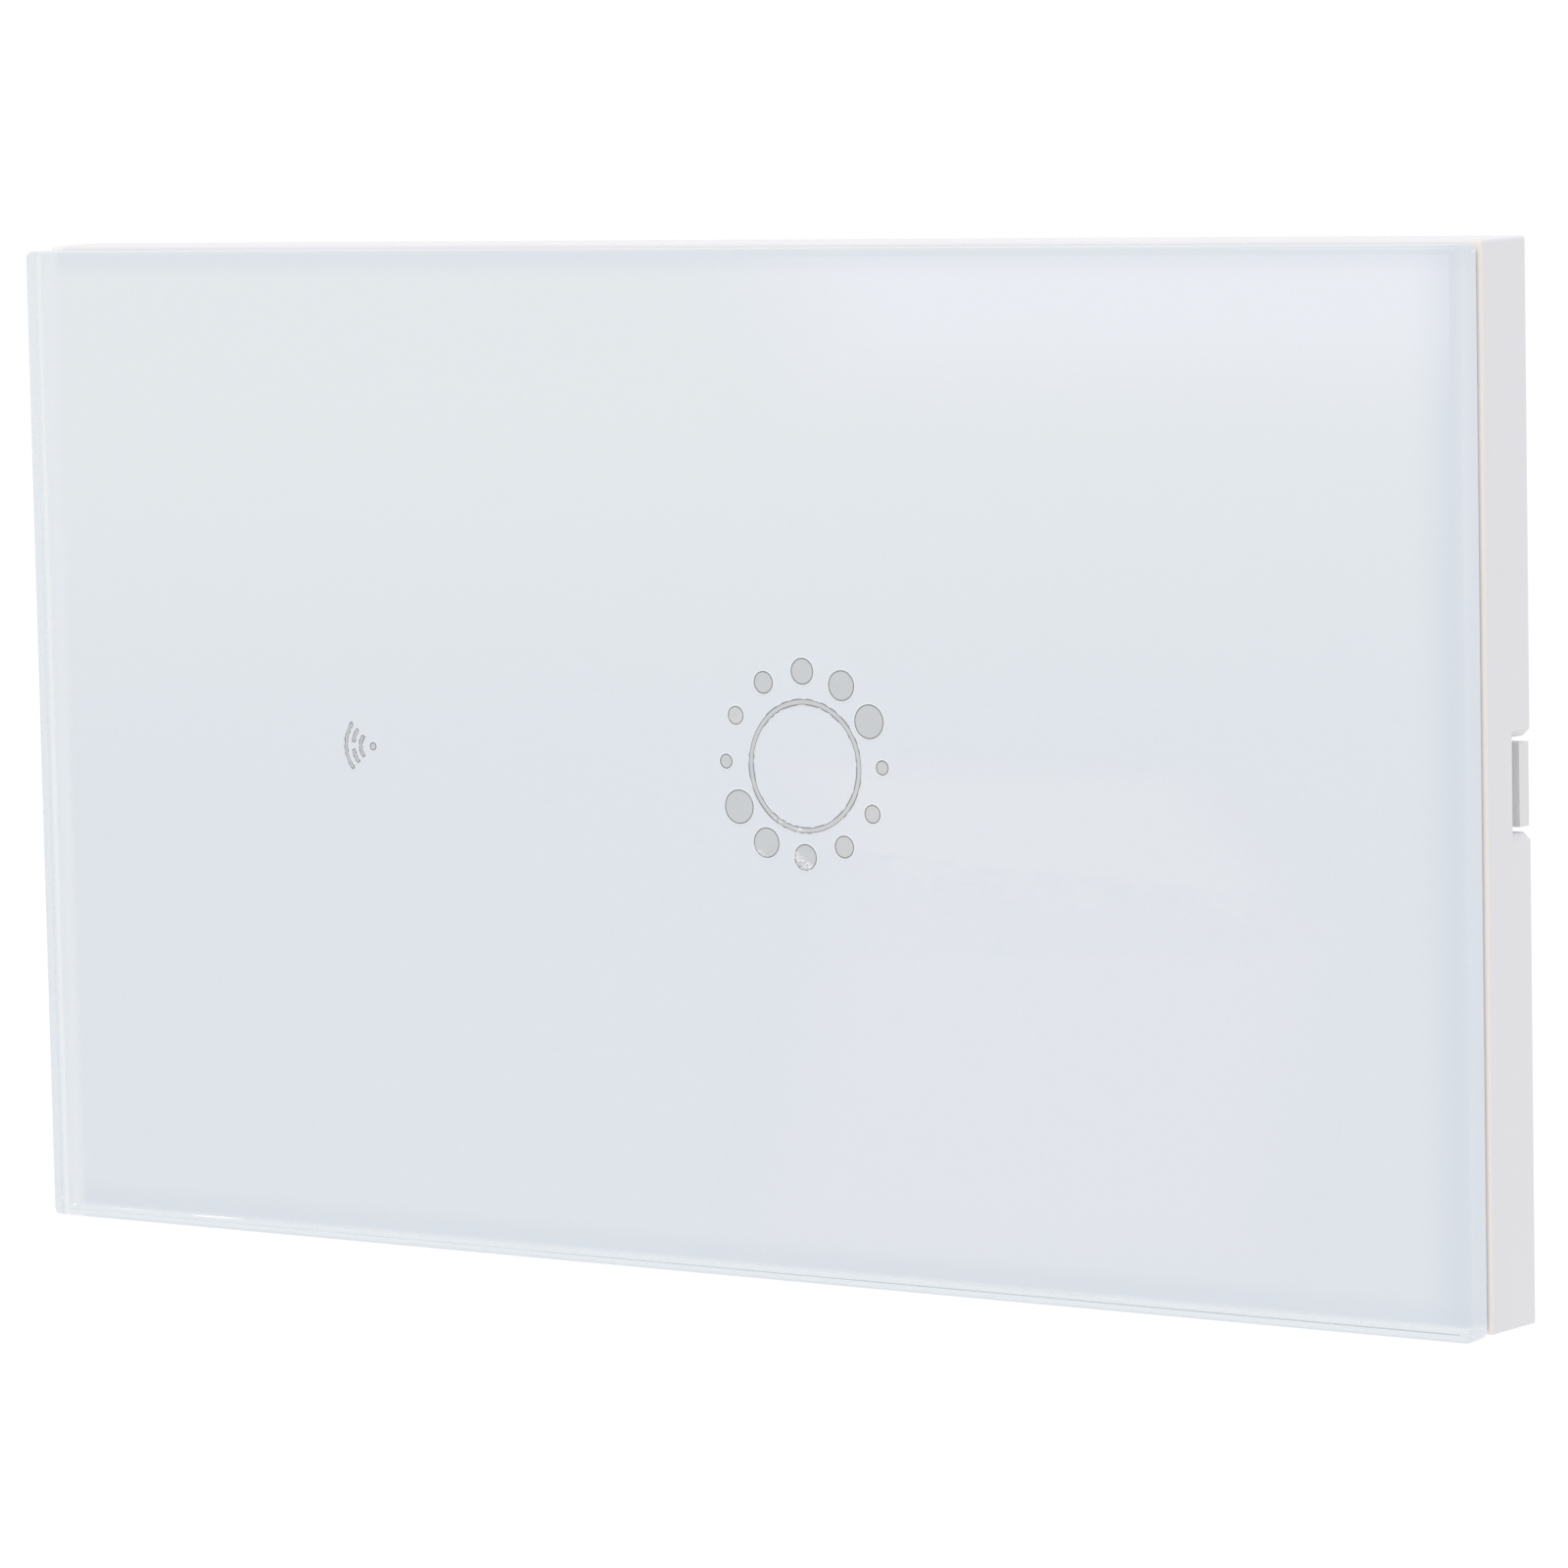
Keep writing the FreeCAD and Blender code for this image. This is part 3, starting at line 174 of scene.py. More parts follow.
class GlassSizes(bpy.types.PropertyGroup):
    """Sizes of the glass pane and of the ink on it."""
    corner: length("Corner", "Radius of the pane's corners", 0.5)
    front_arris: length("Front arris", "Width of the ground front edge", 0.6)
    rear_arris: length("Rear arris", "Width of the ground rear edge", 0.6)
    bond: length("Bond", "How far the glass reaches into the coat printed on it", 0.07)
    ink_halo: length("Ink halo", "Width of the pale line round each dot", 0.07)
    fine_halo: length("Fine halo", "Width of the pale line along the ring and the fan", 0.005)


class SwitchColours(bpy.types.PropertyGroup):
    """Colours of the finishes that show from outside."""
    coat: colour("Coat", "White coat behind the glass", (0.813, 0.85, 0.912))
    ink: colour("Ink", "Grey ink of the marks", (0.65, 0.665, 0.69))
    frame_plastic: colour("Frame", "Moulded front frame", (0.872, 0.868, 0.9))
    base_plastic: colour("Base", "Moulded base and rear housing", (0.85, 0.85, 0.86))
    glass: colour("Glass", "Tint of the glass", (0.985, 1.0, 0.995))


class WireSizes(bpy.types.PropertyGroup):
    """Fineness of turned pieces and the depth of their threads."""
    segments: IntProperty(name="Segments", description="Steps round a turned piece", default=48, min=12)
    thread_depth: length("Thread depth", "Depth of a screw thread", 0.14)


class StageSizes(bpy.types.PropertyGroup):
    """The camera, the lamps and the floor."""
    azimuth: angle("Azimuth", "Turn of the camera to the right", 33.874)
    pitch: angle("Pitch", "How far the camera looks down", 5.637)
    roll: angle("Roll", "Roll of the camera", -1.157)
    distance: length("Distance", "From the camera to the wall plate's middle", 503.31)
    aim_right: length("Aim right", "How far right of the wall plate's middle the camera aims", 0.536)
    aim_up: length("Aim up", "How far above the wall plate's middle the camera aims", -2.325)
    focal_pixels: FloatProperty(
        name="Focal length", description="Focal length in pixels of the square picture", default=7256.7)
    picture_pixels: IntProperty(
        name="Picture", description="Side of the square picture in pixels", default=1601)
    world_strength: FloatProperty(name="World", description="Light from all round", default=0.80)
    top_power: FloatProperty(name="Top lamp", description="Power of the lamp above, in watts", default=0.95)
    floor_drop: length("Floor", "Height of the wall plate's middle above the floor", 120.0)
    floor_reach: length("Floor reach", "Half the side of the floor", 1200.0)
    floor_glow: FloatProperty(
        name="Floor glow", description="What the camera sees on top of the floor's own colour", default=0.28)


class Wire:
    """A number or a colour on its way through a finish, usable in arithmetic."""

    def __init__(self, finish, socket):
        self.finish = finish
        self.socket = socket

    def __add__(self, other):
        return self.finish.maths("ADD", self, other)

    def __radd__(self, other):
        return self.finish.maths("ADD", other, self)

    def __sub__(self, other):
        return self.finish.maths("SUBTRACT", self, other)

    def __rsub__(self, other):
        return self.finish.maths("SUBTRACT", other, self)

    def __mul__(self, other):
        return self.finish.maths("MULTIPLY", self, other)

    def __gt__(self, other):
        return self.finish.maths("GREATER_THAN", self, other)

    def __lt__(self, other):
        return self.finish.maths("LESS_THAN", self, other)


class Finish:
    """A material or a world, built from nodes round one shader."""

    def __init__(self, name, kind="materials", shader="Principled BSDF", **constants):
        self.block = getattr(bpy.data, kind).new(name)
        self.block.use_nodes = True
        self.nodes = self.block.node_tree.nodes
        self.links = self.block.node_tree.links
        self.shader = self.nodes[shader]
        self.set(**constants)

    def set(self, **values):
        """Feed the shader's sockets, and hand the material over."""
        for socket, value in values.items():
            self.feed(self.shader.inputs[socket.replace("_", " ")], value)
        return self.block

    def feed(self, socket, value):
        """Link a wire to a socket, or set its constant."""
        if isinstance(value, Wire):
            self.links.new(value.socket, socket)
        elif socket.type == "RGBA" and len(value) == 3:
            socket.default_value = (*value, 1.0)
        else:
            socket.default_value = value

    def node(self, kind, settings, values, output=0):
        """Any node: its settings first, then the values or wires of its sockets."""
        made = self.nodes.new(kind)
        for name, value in settings.items():
            setattr(made, name, value)
        for socket, value in values.items():
            self.feed(made.inputs[socket], value)
        return Wire(self, made.outputs[output])

    def maths(self, operation, first, second=0.0):
        """One step of arithmetic on wires or numbers."""
        return self.node("ShaderNodeMath", {"operation": operation}, {0: first, 1: second})

    def most(self, first, *others):
        """The largest of several wires."""
        for other in others:
            first = self.maths("MAXIMUM", first, other)
        return first

    def zigzag(self, wire, half):
        """Up from 0 to 1 over a half, down to 0 over the next one, and so on."""
        return self.maths("PINGPONG", wire, half) * (1 / half)

    def place(self):
        """The spot being shaded, in the object's own metres."""
        return self.node("ShaderNodeTexCoord", {}, {}, "Object")

    def axis(self, name, vector=None):
        """One part of a vector, or of the spot being shaded."""
        return self.node("ShaderNodeSeparateXYZ", {}, {"Vector": vector or self.place()}, name)

    def mark(self, name):
        """A number that the mesh carries at each point."""
        return self.node("ShaderNodeAttribute", {"attribute_name": name}, {}, "Fac")

    def ray(self, name):
        """What is known of the ray being traced."""
        return self.node("ShaderNodeLightPath", {}, {}, name)

    def noise(self, scale, detail=2.0, roughness=0.5, stretch=(1.0, 1.0, 1.0)):
        """Cloudy noise in 0 to 1, with a scale in cells per metre."""
        spot = self.node("ShaderNodeMapping", {}, {"Vector": self.place(), "Scale": stretch})
        return self.node("ShaderNodeTexNoise", {}, {
            "Vector": spot, "Scale": scale, "Detail": detail, "Roughness": roughness}, "Fac")

    def step(self, value, low, high):
        """A smooth step from 0 at low to 1 at high."""
        return self.node("ShaderNodeMapRange", {"interpolation_type": "SMOOTHSTEP"}, {
            "Value": value, "From Min": low, "From Max": high})

    def mix(self, factor, first, second):
        """A blend of two colours."""
        return self.node("ShaderNodeMix", {"data_type": "RGBA"}, {0: factor, 6: first, 7: second}, 2)

    def tint(self, shade, wire, spread):
        """A colour that a wire in 0 to 1 makes darker or lighter by a spread."""
        dark = tuple(channel * (1 - spread) for channel in shade)
        light = tuple(min(channel * (1 + spread), 1.0) for channel in shade)
        return self.mix(wire, dark, light)

    def ramp(self, wire, stops):
        """Colours along a wire in 0 to 1, from pairs of place and colour."""
        made = self.nodes.new("ShaderNodeValToRGB")
        elements = made.color_ramp.elements
        while len(elements) < len(stops):
            elements.new(1.0)
        for element, (at, shade) in zip(elements, stops):
            element.position = at
            element.color = (*shade, 1.0)
        self.feed(made.inputs["Fac"], wire)
        return Wire(self, made.outputs["Color"])

    def bump(self, height, depth):
        """Relief of a depth in metres, for the shader's normal."""
        values = {"Strength": 1.0, "Distance": depth, "Height": height}
        return self.node("ShaderNodeBump", {}, values, "Normal")


def chosen(name):
    """A colour from the scene's settings."""
    return tuple(getattr(bpy.context.scene.switch_colours, name))


def moulded(name, shade, roughness, inlay=None):
    """Satin moulded plastic: fine spark grain, faint flow marks and uneven gloss.

    An inlay is a function that takes the finish and its plain colour, and gives the colour to show.
    """
    finish = Finish(name, Specular_IOR_Level=0.45)
    flow = finish.noise(60.0, 3.0, 0.6, (1.0, 2.5, 1.0))
    spark = finish.noise(9000.0, 2.0, 0.7)
    plain = finish.tint(shade, flow, 0.018)
    return finish.set(Base_Color=inlay(finish, plain) if inlay else plain,
                      Roughness=roughness + (flow - 0.5) * 0.12, Normal=finish.bump(spark, 4e-6))


def glass_seat(finish, plain):
    """The frame's seat of the glass: a painted highlight at the left and below, and a warm painted shade of
    the crevice at the right.
    """
    low, high = (corner.tolist() for corner in node_box("front_frame"))
    x, y, z = (finish.axis(name) for name in "XYZ")
    seat = 1 - finish.step(y, low[1] + 0.05 * MM, low[1] + 0.16 * MM)
    # Painted shade: a warm strip in the crevice at the right, under the glass's edge.
    glue = finish.step(x, high[0] - 1.2 * MM, high[0] - 0.8 * MM)
    # Painted highlight: a pale strip at the left and below.
    off_left, off_below = (finish.step(spot, start + SEAT_STRIP, start + SEAT_STRIP + 0.3 * MM)
                           for spot, start in ((x, low[0]), (z, low[2])))
    pale = 1 - off_left * off_below
    return finish.mix(seat, plain, finish.mix(glue, finish.mix(pale, plain, SEAT_HIGHLIGHT), SEAT_SHADE))


def glass_finish():
    """Clear float glass with polished edges, which lets the light on the coat behind it pass."""
    finish = Finish("clear_glass", Roughness=0.0, Transmission_Weight=1.0, IOR=1.5)
    caught = finish.ray("Ray Depth") > LAST_BOUNCE
    straight = finish.most(finish.ray("Is Shadow Ray"), finish.ray("Is Diffuse Ray"), caught)
    return finish.set(Base_Color=finish.tint(chosen("glass"), finish.noise(300.0), 0.004), Alpha=1 - straight)


def coat_finish():
    """White screen print seen through glass: cool, with painted light that makes it paler and greener towards
    the top, and with soft edge bands.

    Each band is a smooth step of the distance to one edge of the pane: painted shade near the right, top and
    bottom edge, and a painted highlight along the left edge and right at the bottom one.
    top and bottom edge, and thinner, so paler, along the left edge and right at the bottom one.
    """
    finish = Finish("white_print", Roughness=0.6, Specular_IOR_Level=0.2)
    low, high = (corner.tolist() for corner in node_box("glass_panel"))
    x, z = finish.axis("X"), finish.axis("Z")
    # Painted light: the coat is paler and greener towards the top.
    upper = finish.step(z - x * 0.06, -6 * MM, 27 * MM)
    shade = finish.mix(upper, finish.tint(chosen("coat"), finish.noise(14.0), 0.01), COAT_LIT_TOP)
    shade = finish.mix(finish.noise(5200.0, 1.0) * 0.05, shade, (0.9, 0.92, 0.93))
    left, right, bottom, top = x - low[0], high[0] - x, z - low[2], high[2] - z
    # Painted shade along the right, top and bottom edges of the pane.
    for distance, (start, end, strength) in zip((right, top, bottom), EDGE_SHADE_BANDS):
        band = 1 - finish.step(distance, start * MM, end * MM)
        shade = finish.mix(band * strength, shade, COAT_EDGE_SHADE)
    # Painted highlight along the left edge and right at the bottom one.
    left_edge_highlight = finish.step(left, 0.0, 0.95 * MM) - finish.step(left, 1.2 * MM, 2.2 * MM)
    lower_edge_highlight = 1 - finish.step(bottom, 0.6 * MM, 1.0 * MM)
    return finish.set(Base_Color=finish.mix(finish.most(left_edge_highlight, lower_edge_highlight), shade, COAT_EDGE_HIGHLIGHT))


def ink_finish():
    """Translucent grey ink: a pale halo, a thin dark outline, a soft pool inside, air and grime in places.

    The attribute inside holds the distance in millimetres from the outline, below 0 in the halo.
    """
    finish = Finish("grey_ink", Roughness=0.55, Specular_IOR_Level=0.2)
    bubbles = finish.mark("bubbles")
    ragged = finish.mark("inside") + (finish.noise(2600.0) - 0.5) * 0.015
    halo = 1 - finish.step(ragged, -0.02, 0.015)
    outline = 1 - finish.step(ragged, 0.05, 0.12)
    air = finish.step(finish.noise(5600.0, 3.0, 0.7), 0.46, 0.53) * bubbles
    grime = finish.step(finish.noise(3900.0, 3.0, 0.7), 0.55, 0.6) * bubbles
    pooled = finish.tint(chosen("ink"), finish.noise(900.0, 3.0, 0.6), 0.03)
    worn = finish.mix(grime * 0.6, pooled, (0.34, 0.32, 0.3))
    aired = finish.mix(air, worn, (0.93, 0.94, 0.95))
    lined = finish.mix(outline * (1 - air * 0.5), aired, (0.22, 0.222, 0.23))
    return finish.set(Base_Color=finish.mix(halo, lined, (0.98, 0.99, 1.0)))


def film_finish():
    """Clear glue film with a faint haze."""
    finish = Finish("clear_film", Roughness=0.25, Transmission_Weight=0.6)
    return finish.set(Base_Color=finish.tint((0.9, 0.91, 0.91), finish.noise(800.0), 0.03))


def frosted_finish():
    """Frosted light-spreading plastic."""
    finish = Finish("frosted_plastic", Transmission_Weight=0.35)
    frost = finish.noise(6000.0)
    return finish.set(Base_Color=finish.tint((0.87, 0.88, 0.89), finish.noise(300.0), 0.02),
                      Roughness=0.5 + frost * 0.2, Normal=finish.bump(frost, 6e-6))


def metal(name, shade, roughness, drawn="", scale=3000.0):
    """Bright metal with a few dull patches, and speckles, or streaks along the axis that it was drawn."""
    finish = Finish(name, Metallic=1.0)
    stretch = tuple(12.0 if drawn and axis != drawn else 1.0 for axis in "XYZ")
    streak = finish.noise(scale, 3.0, 0.6, stretch)
    patch = finish.noise(420.0, 3.0, 0.6)
    return finish.set(Base_Color=finish.tint(shade, patch, 0.07), Normal=finish.bump(streak, 3e-6),
                      Roughness=roughness + streak * 0.16 + patch * 0.06)


def threaded_steel(name, axis_name, start, reach):
    """Plated steel with a fine thread on its first stretch along an axis."""
    finish = Finish(name, Metallic=1.0)
    spot = finish.axis(axis_name)
    patch = finish.noise(420.0, 3.0, 0.6)
    cut = finish.zigzag(spot, 0.3 * MM) * (spot < float(start + reach))
    return finish.set(Base_Color=finish.tint((0.70, 0.71, 0.73), patch, 0.08), Roughness=0.24 + patch * 0.1,
                      Normal=finish.bump(cut, 2e-4))


def laminate(name, mask, copper, pitch):
    """Glass-cloth board under solder mask: raised tracks that run two ways, and the cut edge of the cloth.

    The board is split into square fields, and one noise value for each says which way its tracks run, if any.
    """
    finish = Finish(name, Coat_Weight=0.25, Coat_Roughness=0.15)
    field = (pitch * 7,) * 3
    snapped = finish.node("ShaderNodeVectorMath", {"operation": "SNAP"}, {0: finish.place(), 1: field})
    choice = finish.node("ShaderNodeTexNoise", {"noise_dimensions": "2D"}, {
        "Vector": snapped, "Scale": 190.0, "Detail": 0.0}, "Fac")
    rows, columns = (finish.zigzag(finish.axis(name), pitch / 2) < 0.44 for name in "ZX")
    track = finish.most(rows * (choice > 0.52), columns * (choice < 0.48))
    weave = finish.noise(3500.0)
    skin = finish.mix(track * 0.55, finish.tint(mask, weave, 0.04), copper)
    normal = finish.node("ShaderNodeNewGeometry", {}, {}, "True Normal")
    face = finish.maths("ABSOLUTE", finish.axis("Y", normal)) > 0.5
    return finish.set(Base_Color=finish.mix(face, finish.tint(CLOTH, weave, 0.1), skin),
                      Roughness=0.32 + weave * 0.12, Normal=finish.bump(track * face, 3.5e-5))


def sintered(name, shade, roughness):
    """Pressed or moulded stone-like stuff, such as ferrite, epoxy or ceramic."""
    finish = Finish(name, Specular_IOR_Level=0.4)
    grit = finish.noise(7000.0, 3.0, 0.7)
    return finish.set(Base_Color=finish.tint(shade, grit, 0.12), Normal=finish.bump(grit, 6e-6),
                      Roughness=roughness + (finish.noise(500.0) - 0.5) * 0.12)


def glossy(name, shade, roughness, ripple, depth=6e-6):
    """Dipped, lacquered or sleeved skin with a soft ripple."""
    finish = Finish(name, Coat_Weight=0.35, Coat_Roughness=0.08)
    wave = finish.noise(ripple)
    return finish.set(Base_Color=finish.tint(shade, wave, 0.05), Roughness=roughness + wave * 0.1,
                      Normal=finish.bump(wave, depth))


def banded_fuse_finish():
    """A lacquered resistor body with four plain colour bands, each with crisp ends."""
    finish = Finish("fuse_coating", Coat_Weight=0.3)
    low, high = (float(corner[2]) for corner in node_box("fuse_resistor"))
    stops = [(0.0, FUSE_BODY)]
    for start, end, shade in FUSE_BANDS:
        stops += [(start - 0.01, FUSE_BODY), (start, shade), (end, shade), (end + 0.01, FUSE_BODY)]
    bands = finish.ramp((finish.axis("Z") - low) * (1 / (high - low)), stops)
    return finish.set(Base_Color=bands, Roughness=0.35 + finish.noise(2500.0) * 0.15)


def sleeved_can_finish():
    """A dark plastic sleeve with the bare can showing at its end, and one pale stripe."""
    finish = Finish("can_sleeve", Coat_Weight=0.3, Coat_Roughness=0.1)
    high = node_box("filter_capacitors")[1].tolist()
    end = finish.step(finish.axis("Y"), high[1] - 0.5 * MM, high[1] - 0.4 * MM)
    stripe = finish.step(finish.axis("Z"), high[2] - 1.2 * MM, high[2] - 1.1 * MM)
    shrink = finish.noise(900.0, 3.0)
    sleeve = finish.mix(stripe, finish.tint((0.03, 0.035, 0.09), shrink, 0.12), (0.55, 0.56, 0.6))
    return finish.set(Base_Color=finish.mix(end, sleeve, (0.78, 0.78, 0.79)), Metallic=end,
                      Roughness=0.3 + shrink * 0.12, Normal=finish.bump(shrink, 8e-6))


def lamp_finish():
    """Milky resin with tinned ends, told apart by an attribute."""
    finish = Finish("lamp_resin", Coat_Weight=0.3, Coat_Roughness=0.1)
    tinned, cloud = finish.mark("tinned"), finish.noise(3000.0)
    resin = finish.tint((0.86, 0.85, 0.72), cloud, 0.05)
    return finish.set(Base_Color=finish.mix(tinned, resin, (0.75, 0.75, 0.76)), Metallic=tinned,
                      Roughness=0.22 + cloud * 0.12)


def tape_finish():
    """Amber tape wound in lapped turns between dark flanges."""
    finish = Finish("winding_tape", Coat_Weight=0.35, Coat_Roughness=0.1)
    edge = finish.step(finish.zigzag(finish.axis("Y"), 0.55 * MM), 0.0, 0.18)
    fray = finish.noise(2500.0)
    tape = finish.mix(edge, (0.42, 0.29, 0.03), finish.tint((0.78, 0.58, 0.08), fray, 0.06))
    return finish.set(Base_Color=finish.mix(finish.mark("flange"), tape, (0.03, 0.03, 0.033)),
                      Roughness=0.3 + fray * 0.15, Normal=finish.bump(edge, 5e-5))


def choke_finish():
    """Black shrink sleeve, with the grey ferrite bare at the open end."""
    finish = Finish("choke_sleeve", Coat_Weight=0.25, Coat_Roughness=0.15)
    bare, grit = finish.mark("bare"), finish.noise(3500.0, 3.0)
    sleeve = finish.tint((0.02, 0.022, 0.024), grit, 0.2)
    return finish.set(Base_Color=finish.mix(bare, sleeve, (0.13, 0.13, 0.14)), Normal=finish.bump(grit, 1e-5),
                      Roughness=0.34 + bare * 0.35 + grit * 0.1)


def quads(rows, columns, closed, start=0):
    """Corner numbers of a grid's faces: each spot with its next neighbours, and back round a closed row."""
    row = np.arange(rows - 1)[:, None]
    column = np.arange(columns if closed else columns - 1)[None, :]
    after = (column + 1) % columns
    corners = [row * columns + column, (row + 1) * columns + column, (row + 1) * columns + after,
               row * columns + after]
    return (np.stack([corner.ravel() for corner in corners], 1) + start).tolist()


def with_numbers(mesh, name, values):
    """Give a mesh a number at each of its points."""
    layer = mesh.attributes.new(name, "FLOAT", "POINT")
    layer.data.foreach_set("value", values.ravel().astype(np.float32))


def shown(name, mesh, material):
    """A new object in the scene, with its one material."""
    mesh.materials.append(material)
    made = bpy.data.objects.new(name, mesh)
    bpy.context.scene.collection.objects.link(made)
    return made


class Skin:
    """Grids of points gathered into one mesh."""

    def __init__(self):
        self.points = []
        self.faces = []
        self.marks = {}
        self.count = 0

    def grid(self, points, closed=True, **marks):
        """Add a grid of shape rows by columns by 3, with an optional number for each point."""
        rows, columns = points.shape[:2]
        self.faces.extend(quads(rows, columns, closed, self.count))
        self.points.append(points.reshape(-1, 3))
        for name, value in marks.items():
            self.marks.setdefault(name, []).append(np.broadcast_to(value, (rows, columns)).ravel())
        self.count += rows * columns

    def drum(self, rings):
        """Add closed rings as a grid, with one flat many-sided face on the first ring and on the last."""
        self.grid(rings)
        for ring in (rings[0], rings[-1]):
            self.faces.append(list(range(self.count, self.count + len(ring))))
            self.points.append(ring)
            self.count += len(ring)

    def build(self, name, node, slot, material, sharp=35.0, body="base"):
        """The piece in place of a solid: doubles merged, soft shading, crisp edges and flat caps."""
        mesh = bpy.data.meshes.new(name)
        mesh.from_pydata(np.concatenate(self.points).tolist(), [], self.faces)
        for mark, values in self.marks.items():
            with_numbers(mesh, mark, np.concatenate(values))
        work = bmesh.new()
        work.from_mesh(mesh)
        bmesh.ops.remove_doubles(work, verts=work.verts, dist=1e-7)
        bmesh.ops.dissolve_degenerate(work, edges=work.edges, dist=1e-7)
        bmesh.ops.recalc_face_normals(work, faces=work.faces)
        work.to_mesh(mesh)
        work.free()
        mesh.shade_smooth()
        mesh.set_sharp_from_angle(angle=math.radians(sharp))
        sides = numbers_of(mesh.polygons, "loop_total", np.int32, 1)
        mesh.polygons.foreach_set("use_smooth", sides.ravel() <= 4)
        made = shown(name, mesh, material)
        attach(made, body)
        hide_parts(node)


def turning(segments):
    """Angles round a full turn."""
    return np.arange(segments) * FULL_TURN / segments


def turned(skin, profile, foot, direction, segments, dent=None, thread=None, **marks):
    """A turned form: spot = foot + along * h + radius * (side cos t + other sin t), for pairs (radius, h).

    The dent is a function of radius, angle and h that lowers h, as a driver recess does. The thread is a
    function of h and angle that is taken off the radius.
    """
    along = np.array(direction, float)
    side = np.cross(along, (0.0, 0.0, 1.0) if abs(along[2]) < 0.9 else (1.0, 0.0, 0.0))
    other = np.cross(along, side)
    turn = turning(segments)[None, :]
    radius, height = (column[:, None] for column in np.array(profile, float).T)
    height = np.broadcast_to(height, (len(profile), segments))
    if thread is not None:
        radius = np.maximum(radius - thread(height, turn), 0.0)
    if dent is not None:
        height = height - dent(radius, turn, height)
    spoke = np.cos(turn)[..., None] * side + np.sin(turn)[..., None] * other
    skin.grid(np.array(foot) + height[..., None] * along + radius[..., None] * spoke, **marks)


def pillow(skin, low, high, softness, tinned):
    """A block with soft edges: the three parts of a sphere's spot, each raised to a power, fill the box.

    The nearer the softness is to 0, the crisper the block, and 1 gives an egg.
    """
    low, high = np.array(low), np.array(high)

    def swell(part):
        return np.sign(part) * np.abs(part) ** softness

    tilt = np.linspace(-QUARTER_TURN, QUARTER_TURN, 14)[:, None]
    turn = turning(24)[None, :]
    unit = np.stack([swell(np.cos(tilt)) * swell(np.cos(turn)), swell(np.sin(tilt)) + 0 * turn,
                     swell(np.cos(tilt)) * swell(np.sin(turn))], -1)
    skin.grid((low + high) / 2 + (high - low) / 2 * unit, tinned=tinned)


def tube(skin, path, radius, aside):
    """A round wire along a path, with one radius or one for each spot of it.

    Each ring lies square to the path's run, and is set out from a direction that the path never takes.
    """
    run = np.gradient(path, axis=0)
    run /= np.linalg.norm(run, axis=1)[:, None]
    side = np.cross(run, aside)
    side /= np.linalg.norm(side, axis=1)[:, None]
    other = np.cross(run, side)
    turn = turning(12)[None, :, None]
    size = (radius * np.ones(len(path)))[:, None, None]
    skin.drum(path[:, None] + size * (np.cos(turn) * side[:, None] + np.sin(turn) * other[:, None]))


def ground_edge(width):
    """Pairs (inset, rise) of a ground edge: a quarter circle from the flank into the face."""
    turn = np.linspace(0, QUARTER_TURN, 5)
    return list(zip(width * (1 - np.cos(turn)), width * np.sin(turn)))


def rounded_ring(low, high, corner, inset, depth):
    """A rectangle with round corners at a depth along Y, drawn in by an inset from a box.

    Each corner is a quarter circle about its own centre, whose radius shrinks a little with the inset.
    """
    radius = max(corner - inset * 0.6, corner / 4)
    middle, reach = (low + high) / 2, (high - low) / 2 - inset - radius
    spots = []
    for number, (right, up) in enumerate(((1, 1), (-1, 1), (-1, -1), (1, -1))):
        turn = np.linspace(0, QUARTER_TURN, 9) + number * QUARTER_TURN
        spots.append(np.stack([middle[0] + right * reach[0] + radius * np.cos(turn), 0 * turn + depth,
                               middle[2] + up * reach[2] + radius * np.sin(turn)], 1))
    return np.concatenate(spots)


class SWITCH_OT_glass_pane(bpy.types.Operator):
    """Make the pane with its ground edges"""
    bl_idname = "switch.glass_pane"
    bl_label = "Glass pane"

    def execute(self, context):
        sizes = context.scene.switch_glass
        low, high = node_box("glass_panel")
        rear = [(inset, high[1] - sizes.rear_arris + rise) for inset, rise in ground_edge(sizes.rear_arris)]
        front = [(inset, low[1] + sizes.front_arris - rise) for inset, rise in ground_edge(sizes.front_arris)]
        bonded = (rear[-1][0] + sizes.bond, high[1] + sizes.bond)
        profile = [bonded] + rear[::-1] + front
        skin = Skin()
        skin.drum(np.array([rounded_ring(low, high, sizes.corner, inset, depth) for inset, depth in profile]))
        skin.build("glass_pane", "glass_panel", "clear_glass", glass_finish(), sharp=25.0, body="front_panel")
        return {"FINISHED"}


